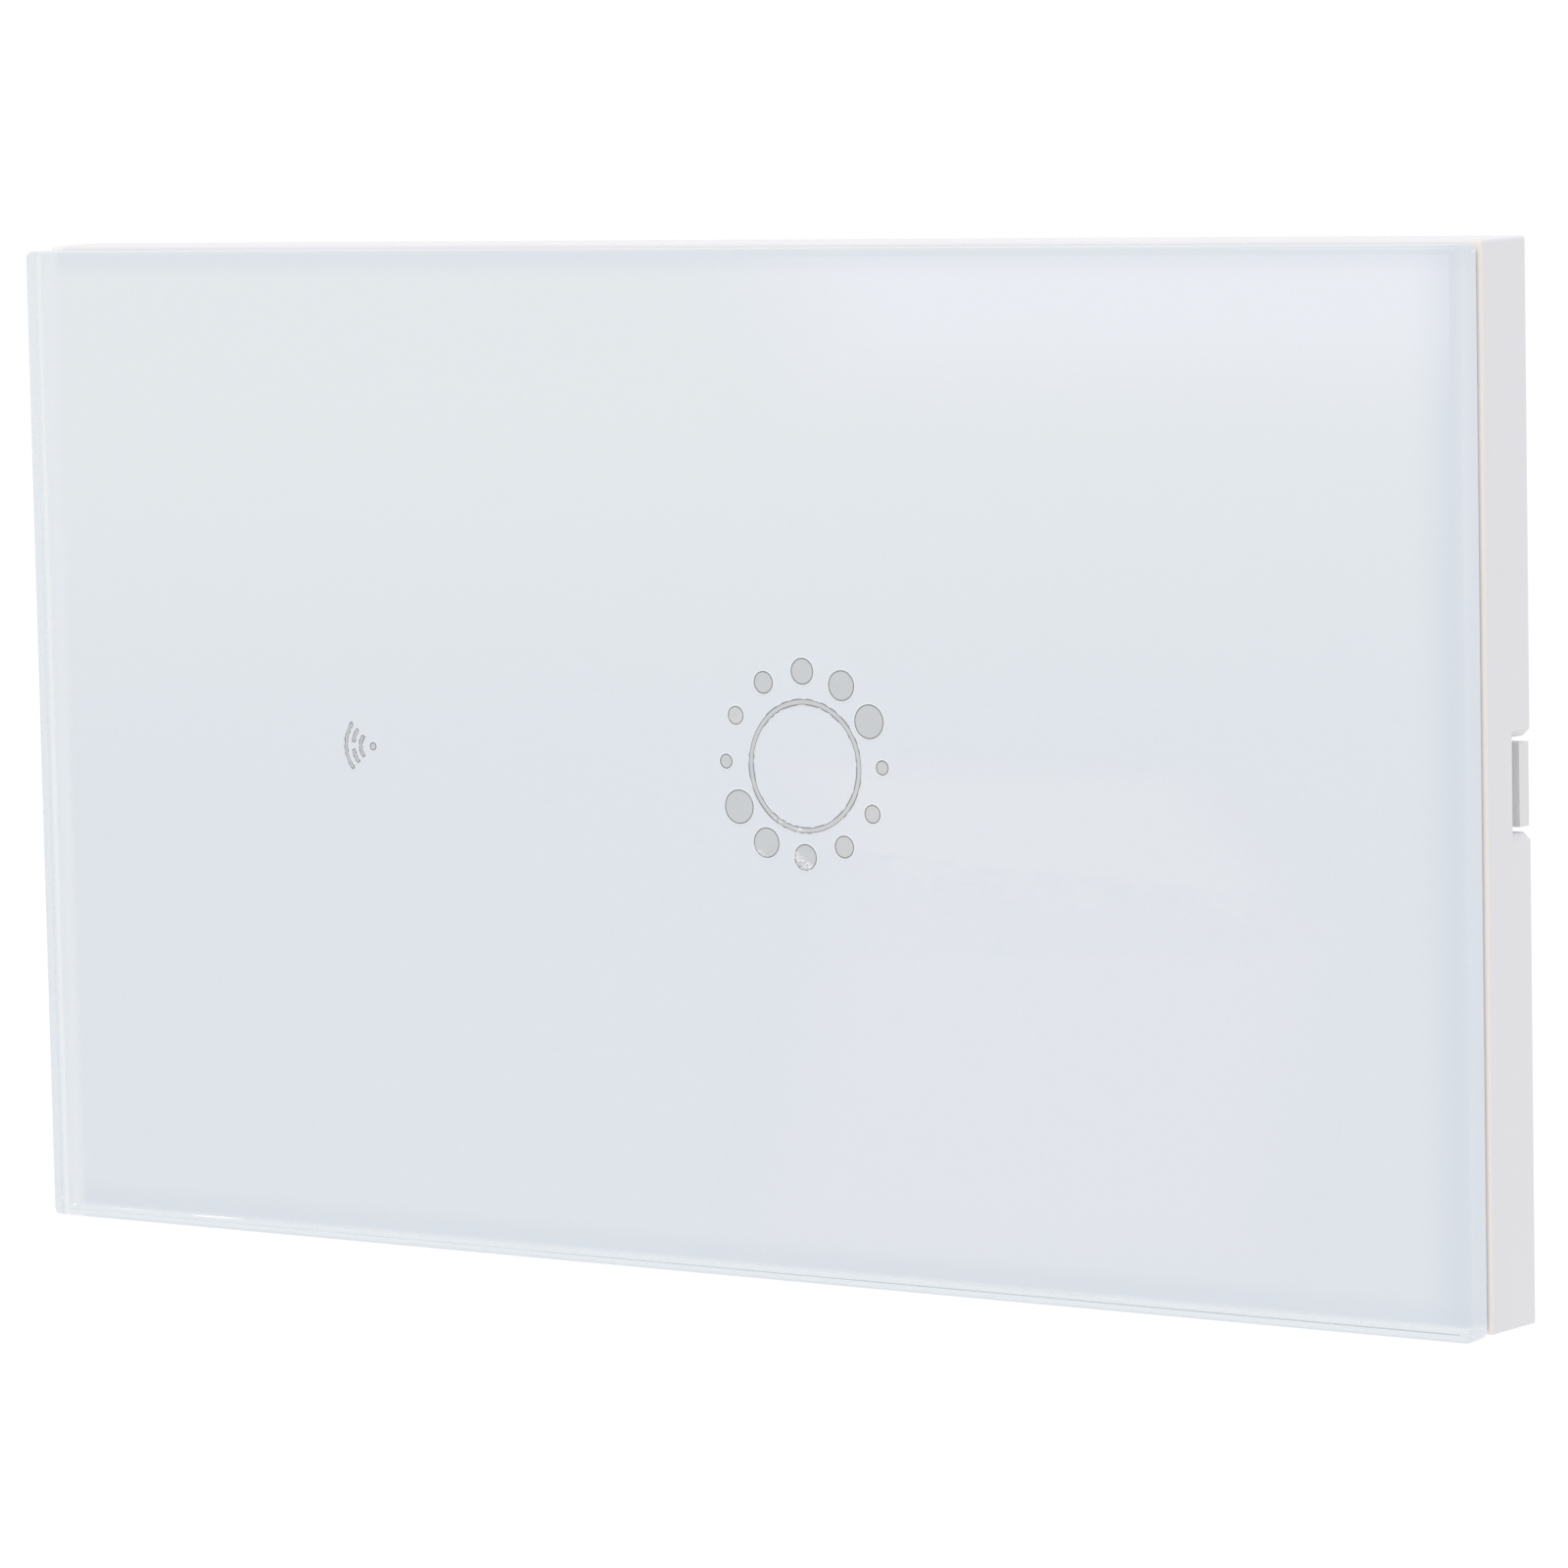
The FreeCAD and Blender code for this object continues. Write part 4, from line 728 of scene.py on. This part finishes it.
class SWITCH_OT_ink_marks(bpy.types.Operator):
    """Make the ring, the dots and the fan as thin discs of ink with a rim"""
    bl_idname = "switch.ink_marks"
    bl_label = "Ink marks"

    def execute(self, context):
        sizes = context.scene.switch_glass
        low, high = node_box("printed_marks")
        self.layers = (low[1] + (high[1] - low[1]) / 5, high[1])
        self.halo, self.fine_halo = sizes.ink_halo, sizes.fine_halo
        skin, arcs = Skin(), []
        boxes = solids_of("printed_marks")
        ring = max(boxes, key=lambda box: box[1][0] - box[0][0])
        centre = (ring[0] + ring[1]) / 2
        for box in boxes:
            middle, half = (box[0] + box[1]) / 2, (box[1] - box[0]) / 2
            if box is ring:
                self.band(skin, middle, half[0] - RING_BAND / 2, RING_BAND, 0.0, FULL_TURN, 96)
            elif abs(half[0] - half[2]) < 0.1 * half[2]:
                away = math.degrees(math.atan2(middle[2] - centre[2], middle[0] - centre[0])) % 360
                in_fan = middle[0] < fan_limit()
                hour = None if in_fan else round((90 - away) / 30) % 12
                self.disc(skin, middle + FAN_LIFT * in_fan, half[0], *BUBBLES_BY_HOUR.get(hour, (0.0, 0.0)))
            else:
                arcs.append((half[2], box[0][0], middle + FAN_LIFT))
        arcs.sort(key=lambda arc: arc[0])
        for number, arc in enumerate(arcs):
            self.arc(skin, *arc, FAN_GAP if number == 1 else 0.0)
        skin.build("ink_marks", "printed_marks", "grey_ink", ink_finish(), body="front_panel")
        return {"FINISHED"}

    def sheet(self, skin, middle, radius, turn, closed, **marks):
        """A flat patch in front and behind: spot = middle + r (cos t, sin t). It returns the front layer."""
        front, rear = (np.stack([middle[0] + radius * np.cos(turn), 0 * radius * turn + y,
                                 middle[2] + radius * np.sin(turn)], -1) for y in self.layers)
        for layer in (front, rear):
            skin.grid(layer, closed, **marks)
        return front

    def wall(self, skin, edge, closed):
        """The thin side of a mark, from an edge of its front layer to the rear one."""
        behind = edge * (1, 0, 1) + (0, self.layers[1], 0)
        skin.grid(np.stack([edge, behind]), closed, inside=-self.halo / MM, bubbles=0.0)

    def band(self, skin, middle, radius, width, first, last, steps):
        """A flat band along a circle, with r across its width, and t along the circle."""
        closed = last - first >= FULL_TURN
        turn = np.linspace(first, last, steps, endpoint=not closed)[None, :]
        share = np.linspace(0.0, 1.0, 5)[:, None]
        inside = np.minimum(share, 1 - share) * width + 0 * turn
        if not closed:
            inside = np.minimum(inside, np.minimum(turn - first, last - turn) * radius)
        bubbles = chips(turn) if closed else 0.0
        front = self.sheet(skin, middle, radius + (share - 0.5) * width, turn, closed,
                           inside=(inside - self.fine_halo) / MM, bubbles=bubbles)
        ends = [] if closed else [front[:, 0], front[:, -1]]
        for edge in [front[0], front[-1]] + ends:
            self.wall(skin, edge, closed)

    def disc(self, skin, middle, radius, bubbles, start):
        """A flat disc: r from centre to edge, t all round, with air from a start towards 7 o'clock."""
        turn = turning(48)[None, :]
        share = np.array((0.0, 0.35, 0.7, 0.9, 1.0))[:, None]
        inside = (1 - share) * radius - self.halo + 0 * turn
        along = (-np.sin(turn) * 0.8 - np.cos(turn) * 0.6) * share
        front = self.sheet(skin, middle, radius * share, turn, True, inside=inside / MM,
                           bubbles=bubbles * np.clip((along - start) * 5, 0, 1))
        self.wall(skin, front[-1], True)

    def arc(self, skin, half_chord, left, middle, gap):
        """One arc of the fan: it opens to +X about the fan's dot, and a gap parts it midway."""
        outer = half_chord / math.sin(math.radians(FAN_SPREAD) / 2)
        centre = (left + outer, 0.0, middle[2])
        half = math.radians(FAN_PRINTED) / 2
        parts = [(-half, -gap), (gap, half)] if gap else [(-half, half)]
        for first, last in parts:
            self.band(skin, centre, outer - FAN_STROKE / 2, FAN_STROKE, math.pi + first, math.pi + last, 32)


def fan_limit():
    """A sixth of the pane's length left of its middle: marks further left than this belong to the fan."""
    low, high = node_box("glass_panel")
    return (low[0] + high[0]) / 2 - (high[0] - low[0]) / 6


def chips(turn):
    """Air in the ring: a bell curve about each place where the print took it in."""
    return np.clip(sum(np.exp(-((turn - math.radians(at)) / CHIP_SPREAD) ** 2) for at in RING_CHIPS), 0, 1)


class SWITCH_OT_stage(bpy.types.Operator):
    """Set the camera, the lamps, the floor and the white surroundings"""
    bl_idname = "switch.stage"
    bl_label = "Stage"

    def execute(self, context):
        stage = context.scene.switch_stage
        self.camera(context.scene, stage)
        context.scene.world = self.surroundings(stage)
        self.lamp(context.scene, "top_lamp", Vector((0.05, -0.25, 0.55)), 0.6, stage.top_power)
        self.floor(stage)
        for name, (brightness, patch) in CARDS.items():
            self.card(name, brightness, patch)
        context.scene.view_settings.view_transform = "Standard"
        return {"FINISHED"}

    def camera(self, scene, stage):
        """Back, right and up vectors from the turn, the pitch and the roll."""
        back = Vector((math.sin(stage.azimuth) * math.cos(stage.pitch),
                       -math.cos(stage.azimuth) * math.cos(stage.pitch), math.sin(stage.pitch)))
        right = Vector((math.cos(stage.azimuth), math.sin(stage.azimuth), 0.0))
        up = back.cross(right)
        rolled_right = math.cos(stage.roll) * right + math.sin(stage.roll) * up
        rolled_up = -math.sin(stage.roll) * right + math.cos(stage.roll) * up
        self.eye = stage.aim_right * rolled_right + stage.aim_up * rolled_up + stage.distance * back
        camera = bpy.data.objects.new("camera", bpy.data.cameras.new("camera"))
        camera.data.sensor_width = 36.0
        camera.data.lens = camera.data.sensor_width * stage.focal_pixels / stage.picture_pixels
        camera.data.clip_start = 0.01
        turn = Matrix((rolled_right, rolled_up, back)).transposed().to_4x4()
        camera.matrix_world = Matrix.Translation(self.eye) @ turn
        scene.collection.objects.link(camera)
        scene.camera = camera

    def surroundings(self, stage):
        """White to the camera, to gloss and through glass, and a plain level of light for the rest."""
        world = Finish("surroundings", "worlds", "Background", Color=(1.0, 1.0, 1.0))
        seen = world.most(*(world.ray(f"Is {kind} Ray") for kind in ("Camera", "Glossy", "Transmission")))
        level = {"Value": seen, "To Min": stage.world_strength, "To Max": 1.0}
        return world.set(Strength=world.node("ShaderNodeMapRange", {}, level))

    def lamp(self, scene, name, spot, size, power):
        """A square soft lamp that points at the middle of the wall plate."""
        light = bpy.data.lights.new(name, "AREA")
        light.size = size
        light.energy = power
        lamp = bpy.data.objects.new(name, light)
        lamp.location = spot
        lamp.rotation_euler = (-spot).to_track_quat("-Z", "Y").to_euler()
        scene.collection.objects.link(lamp)

    def floor(self, stage):
        """A plain pale sheet below the switch, which glows for the camera and for gloss."""
        reach = stage.floor_reach
        mesh = bpy.data.meshes.new("floor")
        corners = [(x * reach, y * reach, -stage.floor_drop) for x, y in ((-1, -1), (1, -1), (1, 1), (-1, 1))]
        mesh.from_pydata(corners, [], [(0, 1, 2, 3)])
        finish = Finish("pale_floor", Roughness=0.8, Specular_IOR_Level=0.0,
                        Emission_Strength=stage.floor_glow)
        seen = finish.most(finish.ray("Is Camera Ray"), finish.ray("Is Glossy Ray"))
        finish.set(Base_Color=finish.tint((0.9, 0.9, 0.9), finish.noise(20.0), 0.01),
                   Emission_Color=finish.mix(seen, (0.0, 0.0, 0.0), (1.0, 1.0, 1.0)))
        shown("floor", mesh, finish.block)

    def card(self, name, brightness, patch):
        """A softly edged bright card that only gloss shows, so that the pane mirrors it.

        The camera's mirror image behind the pane, thrown through the corners of a patch of the pane, lands on
        the card's own corners. The grid is a blend of them, and the fade runs from 0 at the rim to 1 inside.
        """
        face = node_box("glass_panel")[0][1]
        behind = np.array((self.eye.x, 2 * face - self.eye.y, self.eye.z))
        spots = np.array([(x * MM, face, z * MM) for x, z in patch])
        run = spots - behind
        corners = spots + run * (CARD_REACH / -run[:, 1])[:, None]
        steps = 25
        u = np.linspace(0, 1, steps)[:, None, None]
        v = u.reshape(1, steps, 1)
        near, far = (1 - u) * corners[0] + u * corners[1], (1 - u) * corners[3] + u * corners[2]
        points = (1 - v) * near + v * far
        rim = np.minimum(np.minimum(u, 1 - u), np.minimum(v, 1 - v))
        mesh = bpy.data.meshes.new(name)
        mesh.from_pydata(points.reshape(-1, 3).tolist(), [], quads(steps, steps, False))
        with_numbers(mesh, "fade", np.clip(rim / CARD_FADE, 0, 1))
        finish = Finish(name, Base_Color=(0.0, 0.0, 0.0), Specular_IOR_Level=0.0,
                        Emission_Strength=CARD_STRENGTH)
        plain, bright = (tuple(channel / CARD_STRENGTH for channel in shade)
                         for shade in ((1.0, 1.0, 1.0), brightness))
        finish.set(Emission_Color=finish.mix(finish.step(finish.mark("fade"), 0.0, 1.0), plain, bright))
        card = shown(name, mesh, finish.block)
        card.visible_camera = card.visible_diffuse = card.visible_shadow = card.visible_transmission = False


def dress(material, *nodes):
    """Give carried-over solids their finish."""
    for node in nodes:
        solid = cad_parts[node]
        if not solid.material_slots:
            solid.data.materials.append(material)
        for slot in solid.material_slots:
            slot.material = material


class SWITCH_OT_outer_finishes(bpy.types.Operator):
    """Dress the coat, the film, the frame, the base plate and the housing"""
    bl_idname = "switch.outer_finishes"
    bl_label = "Outer finishes"

    def execute(self, context):
        dress(coat_finish(), "back_print")
        dress(film_finish(), "adhesive_sheet")
        dress(moulded("frame_plastic", chosen("frame_plastic"), 0.42, glass_seat), "front_frame")
        dress(moulded("base_plastic", chosen("base_plastic"), 0.45), "base_plate")
        dress(moulded("housing_plastic", chosen("base_plastic"), 0.5), "rear_housing")
        dress(frosted_finish(), "ring_diffuser", "fan_diffuser")
        return {"FINISHED"}


class SWITCH_OT_inner_finishes(bpy.types.Operator):
    """Dress the boards and the parts on them"""
    bl_idname = "switch.inner_finishes"
    bl_label = "Inner finishes"

    def execute(self, context):
        dress(laminate("white_laminate", (0.84, 0.85, 0.85), (0.70, 0.72, 0.72), 1.3 * MM), "control_board")
        dress(laminate("green_laminate", (0.02, 0.17, 0.06), (0.06, 0.30, 0.12), 1.6 * MM), "power_board")
        dress(laminate("dark_laminate", (0.015, 0.025, 0.06), (0.05, 0.07, 0.14), 0.9 * MM), "radio_board")
        dress(moulded("terminal_plastic", (0.05, 0.2, 0.1), 0.45), "terminal_block")
        dress(moulded("header_plastic", (0.03, 0.03, 0.032), 0.45), "header_strip", "header_socket")
        dress(glossy("relay_case", (0.03, 0.06, 0.25), 0.3, 600.0), "relay")
        dress(metal("brass_strip", (0.78, 0.62, 0.33), 0.25, "X"), "busbars")
        dress(metal("brass_pin", (0.83, 0.68, 0.38), 0.2, "Y"), "header_pins")
        cage = metal("brass_cage", (0.80, 0.76, 0.66), 0.25, "Z")
        dress(cage, "clamp_cage_1", "clamp_cage_2", "clamp_cage_3")
        dress(metal("tinned_shield", (0.78, 0.78, 0.79), 0.28, "X"), "radio_shield")
        black = sintered("black_epoxy", (0.03, 0.03, 0.032), 0.6)
        dress(black, "touch_chip", "logic_chip", "bridge_rectifier")
        dress(sintered("chip_ceramic", (0.35, 0.26, 0.18), 0.6), "chip_parts")
        dress(sintered("ferrite", (0.07, 0.07, 0.08), 0.7), "transformer_core")
        dress(glossy("film_case", (0.78, 0.56, 0.07), 0.3, 900.0), "suppressor_capacitor")
        return {"FINISHED"}


class SWITCH_OT_screws(bpy.types.Operator):
    """Make the cross-headed screws with their threads, and dress the terminal screws"""
    bl_idname = "switch.screws"
    bl_label = "Screws"

    def execute(self, context):
        sizes = context.scene.switch_wire
        steel = metal("zinc_steel", (0.70, 0.71, 0.73), 0.22, scale=2500.0)
        for node, (side, shank, head_height) in SCREWS.items():
            skin = Skin()
            for low, high in solids_of(node):
                self.screw(skin, low, high, side, shank, head_height, sizes.thread_depth)
            skin.build(node, node, "zinc_steel", steel, sharp=40.0)
        start = node_box("terminal_screw_1")[0][0]
        terminal = threaded_steel("terminal_steel", "X", start, TERMINAL_SHANK)
        dress(terminal, "terminal_screw_1", "terminal_screw_2", "terminal_screw_3")
        return {"FINISHED"}

    def screw(self, skin, low, high, side, shank, head_height, thread_depth):
        """A pan-head screw from its tip to its head, which lies towards the given side of Y."""
        head, reach, (x, y, z) = round_room(low, high)
        foot = (x, y if side > 0 else high[1], z)
        seat = reach - head_height
        pitch, point = shank * 0.62, shank * 1.1
        rows = np.arange(0.0, seat - pitch, pitch / 6)
        body = [(min(shank, shank * (0.25 + 0.75 * h / point)), h) for h in rows]
        crown = [(head * s, reach - head_height * 0.45 * s ** 3) for s in np.linspace(1.0, 0.0, 26)]
        rim = [(shank, seat), (head * 0.96, seat), (head, seat + head_height * 0.1)]

        def thread(height, turn):
            ridge = np.abs(2 * np.mod(height / pitch - turn / FULL_TURN, 1.0) - 1)
            cut = (height > 1e-6) & (height < seat - pitch)
            return np.where(cut, ridge * thread_depth * shank / (1.2 * MM), 0.0)

        def recess(radius, turn, height):
            u, v = np.abs(radius * np.cos(turn)), np.abs(radius * np.sin(turn))
            arm = np.clip((head * 0.13 - np.minimum(u, v)) / (head * 0.05) + 0.5, 0, 1)
            end = np.clip((head * 0.58 - np.maximum(u, v)) / (head * 0.1) + 0.5, 0, 1)
            return np.where(height > seat + head_height * 0.3, arm * end * head_height * 0.55, 0.0)

        turned(skin, [(0.0, 0.0)] + body + rim + crown, foot, (0, side, 0), 64, recess, thread)


class SWITCH_OT_touch_spring(bpy.types.Operator):
    """Wind the touch spring as a smooth coil with closed ends"""
    bl_idname = "switch.touch_spring"
    bl_label = "Touch spring"

    def execute(self, context):
        low, high = node_box("touch_spring")
        middle = (low + high) / 2
        wire = SPRING_WIRE / 2
        coil = (high[2] - low[2]) / 2 - wire
        turn = np.linspace(0.0, FULL_TURN * SPRING_TURNS, 40 * SPRING_TURNS)
        opening = 0.55 + 0.45 * np.clip(np.minimum(turn, turn[-1] - turn) / math.pi, 0, 1)
        share = np.cumsum(opening) / opening.sum()
        depth = (high[1] - wire) * (1 - share) + (low[1] + wire) * share
        path = np.stack([middle[0] + coil * np.cos(turn), depth, middle[2] + coil * np.sin(turn)], 1)
        skin = Skin()
        tube(skin, path, wire, UPRIGHT)
        steel = metal("spring_steel", (0.74, 0.74, 0.73), 0.18, scale=2000.0)
        skin.build("touch_spring_coil", "touch_spring", "spring_steel", steel, sharp=60.0)
        return {"FINISHED"}


class SWITCH_OT_lamps(bpy.types.Operator):
    """Make each small lamp with its white base, its lens and its tinned ends"""
    bl_idname = "switch.lamps"
    bl_label = "Indicator lamps"

    def execute(self, context):
        skin = Skin()
        for low, high in solids_of("indicator_lamps"):
            size = high - low
            board = high[1] - size[1] * 0.35
            end = size[0] * 0.16
            slim, lens_drop, lap = size[2] * 0.05, size[1] * 0.2, size[1] * 0.05
            pillow(skin, (low[0] + end / 2, board, low[2]), (high[0] - end / 2, high[1], high[2]), 0.1, 0.0)
            pillow(skin, (low[0] + end, low[1], low[2] + slim),
                   (high[0] - end, high[1] - lens_drop, high[2] - slim), 0.3, 0.0)
            for first in (low[0], high[0] - end):
                pillow(skin, (first, board - lap, low[2]), (first + end, high[1], high[2]), 0.2, 1.0)
        skin.build("indicator_lamp_row", "indicator_lamps", "lamp_resin", lamp_finish(), sharp=50.0)
        return {"FINISHED"}


class SWITCH_OT_wound_parts(bpy.types.Operator):
    """Make the transformer's winding and the sleeved choke"""
    bl_idname = "switch.wound_parts"
    bl_label = "Wound parts"

    def execute(self, context):
        segments = context.scene.switch_wire.segments
        self.winding(segments)
        self.choke(segments)
        return {"FINISHED"}

    def winding(self, segments):
        """Tape that swells a little between two flanges, like the root of a sine."""
        radius, height, foot = round_room(*node_box("transformer_coil"))
        flange, neck = height * 0.08, radius * 0.93
        tape = [(neck + radius * 0.03 * math.sin(math.pi * s) ** 0.5, flange + (height - 2 * flange) * s)
                for s in np.linspace(0, 1, 12)]
        rim = [(0.0, 0.0), (radius * 0.98, 0.0), (radius, flange * 0.3), (radius, flange * 0.9)]
        rim.append((neck, flange))
        profile = rim + tape + [(r, height - h) for r, h in rim[::-1]]
        flanged = np.array([1.0] * len(rim) + [0.0] * len(tape) + [1.0] * len(rim))[:, None]
        skin = Skin()
        turned(skin, profile, foot, UPRIGHT, segments, flange=flanged)
        skin.build("transformer_winding", "transformer_coil", "winding_tape", tape_finish())

    def choke(self, segments):
        """A sleeve that necks in like a sine, folded over the lip of the open end."""
        radius, height, foot = round_room(*node_box("input_choke"))
        lip = radius * 0.1
        profile = [(0.0, 0.0), (radius * 0.9, 0.0), (radius, lip)]
        profile += [(radius * (1 - 0.03 * math.sin(math.pi * s)), lip + (height - 2 * lip) * s)
                    for s in np.linspace(0.05, 0.95, 9)]
        fold = ((1.0, 1.0), (0.96, 0.3), (0.86, 0.0), (0.78, 0.5), (0.76, 1.6), (0.0, 1.7))
        profile += [(radius * width, height - lip * drop) for width, drop in fold]
        bare = np.array([0.0] * (len(profile) - 2) + [1.0] * 2)[:, None]
        skin = Skin()
        turned(skin, profile, foot, UPRIGHT, segments, bare=bare)
        skin.build("choke_drum", "input_choke", "choke_sleeve", choke_finish())


class SWITCH_OT_mains_parts(bpy.types.Operator):
    """Make the filter cans, the surge disc and the fuse resistor with their leads"""
    bl_idname = "switch.mains_parts"
    bl_label = "Mains parts"

    def execute(self, context):
        segments = context.scene.switch_wire.segments
        cans, surge, fuse = Skin(), Skin(), Skin()
        for low, high in solids_of("filter_capacitors"):
            self.can(cans, low, high, segments)
        cans.build("filter_cans", "filter_capacitors", "can_sleeve", sleeved_can_finish())
        self.disc(surge, *node_box("surge_disc"), segments)
        blue = glossy("blue_coating", (0.03, 0.11, 0.42), 0.24, 1500.0, 2e-5)
        surge.build("surge_disc_dipped", "surge_disc", "blue_coating", blue, sharp=50.0)
        self.fuse(fuse, *node_box("fuse_resistor"), segments)
        coating = banded_fuse_finish()
        fuse.build("fuse_resistor_body", "fuse_resistor", "fuse_coating", coating, sharp=50.0)
        return {"FINISHED"}

    def can(self, skin, low, high, segments):
        """A can with a rolled groove at its foot, a turned-over sleeve and a scored vent cross in its end."""
        radius, height, foot = round_room(low, high)
        groove = [(radius * (1 - 0.09 * math.sin(math.pi * s)), height * (0.12 + 0.1 * s))
                  for s in np.linspace(0, 1, 9)]
        fold = radius * 0.08
        shoulder = [(radius - fold * (1 - math.cos(t)), height - fold * (1 - math.sin(t)))
                    for t in np.linspace(0, QUARTER_TURN, 5)]
        face = [(radius * s, height - radius * 0.03) for s in np.linspace(0.84, 0.0, 22)]
        profile = [(0.0, 0.0), (radius * 0.94, 0.0), (radius, height * 0.02)] + groove + shoulder + face

        def vent(r, turn, h):
            u, v = np.abs(r * np.cos(turn)), np.abs(r * np.sin(turn))
            line = np.clip(1.4 - np.minimum(u, v) / (radius * 0.04), 0, 1)
            inner = (np.maximum(u, v) < radius * 0.62) & (h > height * 0.9)
            return np.where(inner, line * radius * 0.05, 0.0)

        turned(skin, profile, foot, UPRIGHT, segments * 2, vent)

    def disc(self, skin, low, high, segments):
        """A dipped disc whose edge is a half ellipse, on two coated legs that stand on the board."""
        thick = high[0] - low[0]
        radius = (high[1] - low[1]) / 2 * 0.94
        middle = np.array(((low[0] + high[0]) / 2, high[1] - radius, (low[2] + high[2]) / 2))
        edge = [(radius * (0.84 + 0.16 * math.sin(t) ** 0.8), thick / 2 * (1 - math.cos(t)))
                for t in np.linspace(0, math.pi, 15)]
        profile = [(0.0, 0.0)] + edge + [(0.0, thick)]
        turned(skin, profile, (low[0], middle[1], middle[2]), (1, 0, 0), segments)
        share = np.linspace(0, 1, 10)
        for side in (-1, 1):
            rise = low[1] * (1 - share) + middle[1] * share
            leg = np.stack([middle[0] + side * thick * 0.12 + 0 * share, rise,
                            middle[2] + side * radius * 0.55 + 0 * share], 1)
            tube(skin, leg, LEG_RADIUS * (0.75 + 0.5 * share), (1.0, 0.0, 0.0))

    def fuse(self, skin, low, high, segments):
        """A body that swells over its end caps, on two leads that bend down to the board."""
        radius, reach = (high[0] - low[0]) / 2, high[2] - low[2]
        margin = reach * 0.09
        body, bend = reach - 2 * margin, margin * 0.7
        x, y = (low[0] + high[0]) / 2, (low[1] + high[1]) / 2
        share = np.linspace(0, 1, 40)
        swell = 0.86 + 0.14 * np.clip(np.abs(2 * share - 1) * 2.6 - 1.35, 0, 1) ** 0.6
        ends = np.clip(np.minimum(share, 1 - share) / 0.05, 0, 1) ** 0.5
        profile = [(0.0, 0.0), *zip(radius * swell * (0.55 + 0.45 * ends), body * share), (0.0, body)]
        turned(skin, profile, (x, y, low[2] + margin), (0, 0, 1), segments)
        turn = np.linspace(0, QUARTER_TURN, 8)
        for start, out in ((low[2] + margin * 1.2, -1), (high[2] - margin * 1.2, 1)):
            corner = np.stack([x + 0 * turn, y - bend * (1 - np.cos(turn)),
                               start + out * bend * np.sin(turn)], 1)
            down = corner[-1] + np.linspace(0, 1, 6)[1:, None] * (0.0, low[1] - corner[-1][1], 0.0)
            tube(skin, np.concatenate([corner, down]), LEAD_RADIUS, (1.0, 0.0, 0.0))


class SWITCH_PT_pieces(bpy.types.Panel):
    """Buttons that make the switch piece by piece"""
    bl_idname = "SWITCH_PT_pieces"
    bl_label = "Glass touch switch"
    bl_space_type = "VIEW_3D"
    bl_region_type = "UI"
    bl_category = "Switch"

    def draw(self, context):
        column = self.layout.column()
        for step in STEPS:
            column.operator(f"switch.{step}")


STEPS = ("stage", "glass_pane", "ink_marks", "outer_finishes", "inner_finishes", "screws", "touch_spring",
         "lamps", "wound_parts", "mains_parts")
CLASSES = (
    GlassSizes, SwitchColours, WireSizes, StageSizes, SWITCH_OT_stage, SWITCH_OT_glass_pane,
    SWITCH_OT_ink_marks, SWITCH_OT_outer_finishes, SWITCH_OT_inner_finishes, SWITCH_OT_screws,
    SWITCH_OT_touch_spring, SWITCH_OT_lamps, SWITCH_OT_wound_parts, SWITCH_OT_mains_parts, SWITCH_PT_pieces,
)
SETTINGS = {"switch_glass": GlassSizes, "switch_colours": SwitchColours, "switch_wire": WireSizes,
            "switch_stage": StageSizes}


def register():
    for kind in CLASSES:
        bpy.utils.register_class(kind)
    for name, group in SETTINGS.items():
        setattr(bpy.types.Scene, name, PointerProperty(type=group))


def unregister():
    for name in SETTINGS:
        delattr(bpy.types.Scene, name)
    for kind in reversed(CLASSES):
        bpy.utils.unregister_class(kind)


def main():
    register()
    for step in STEPS:
        getattr(bpy.ops.switch, step)()


if __name__ == "__main__":
    main()
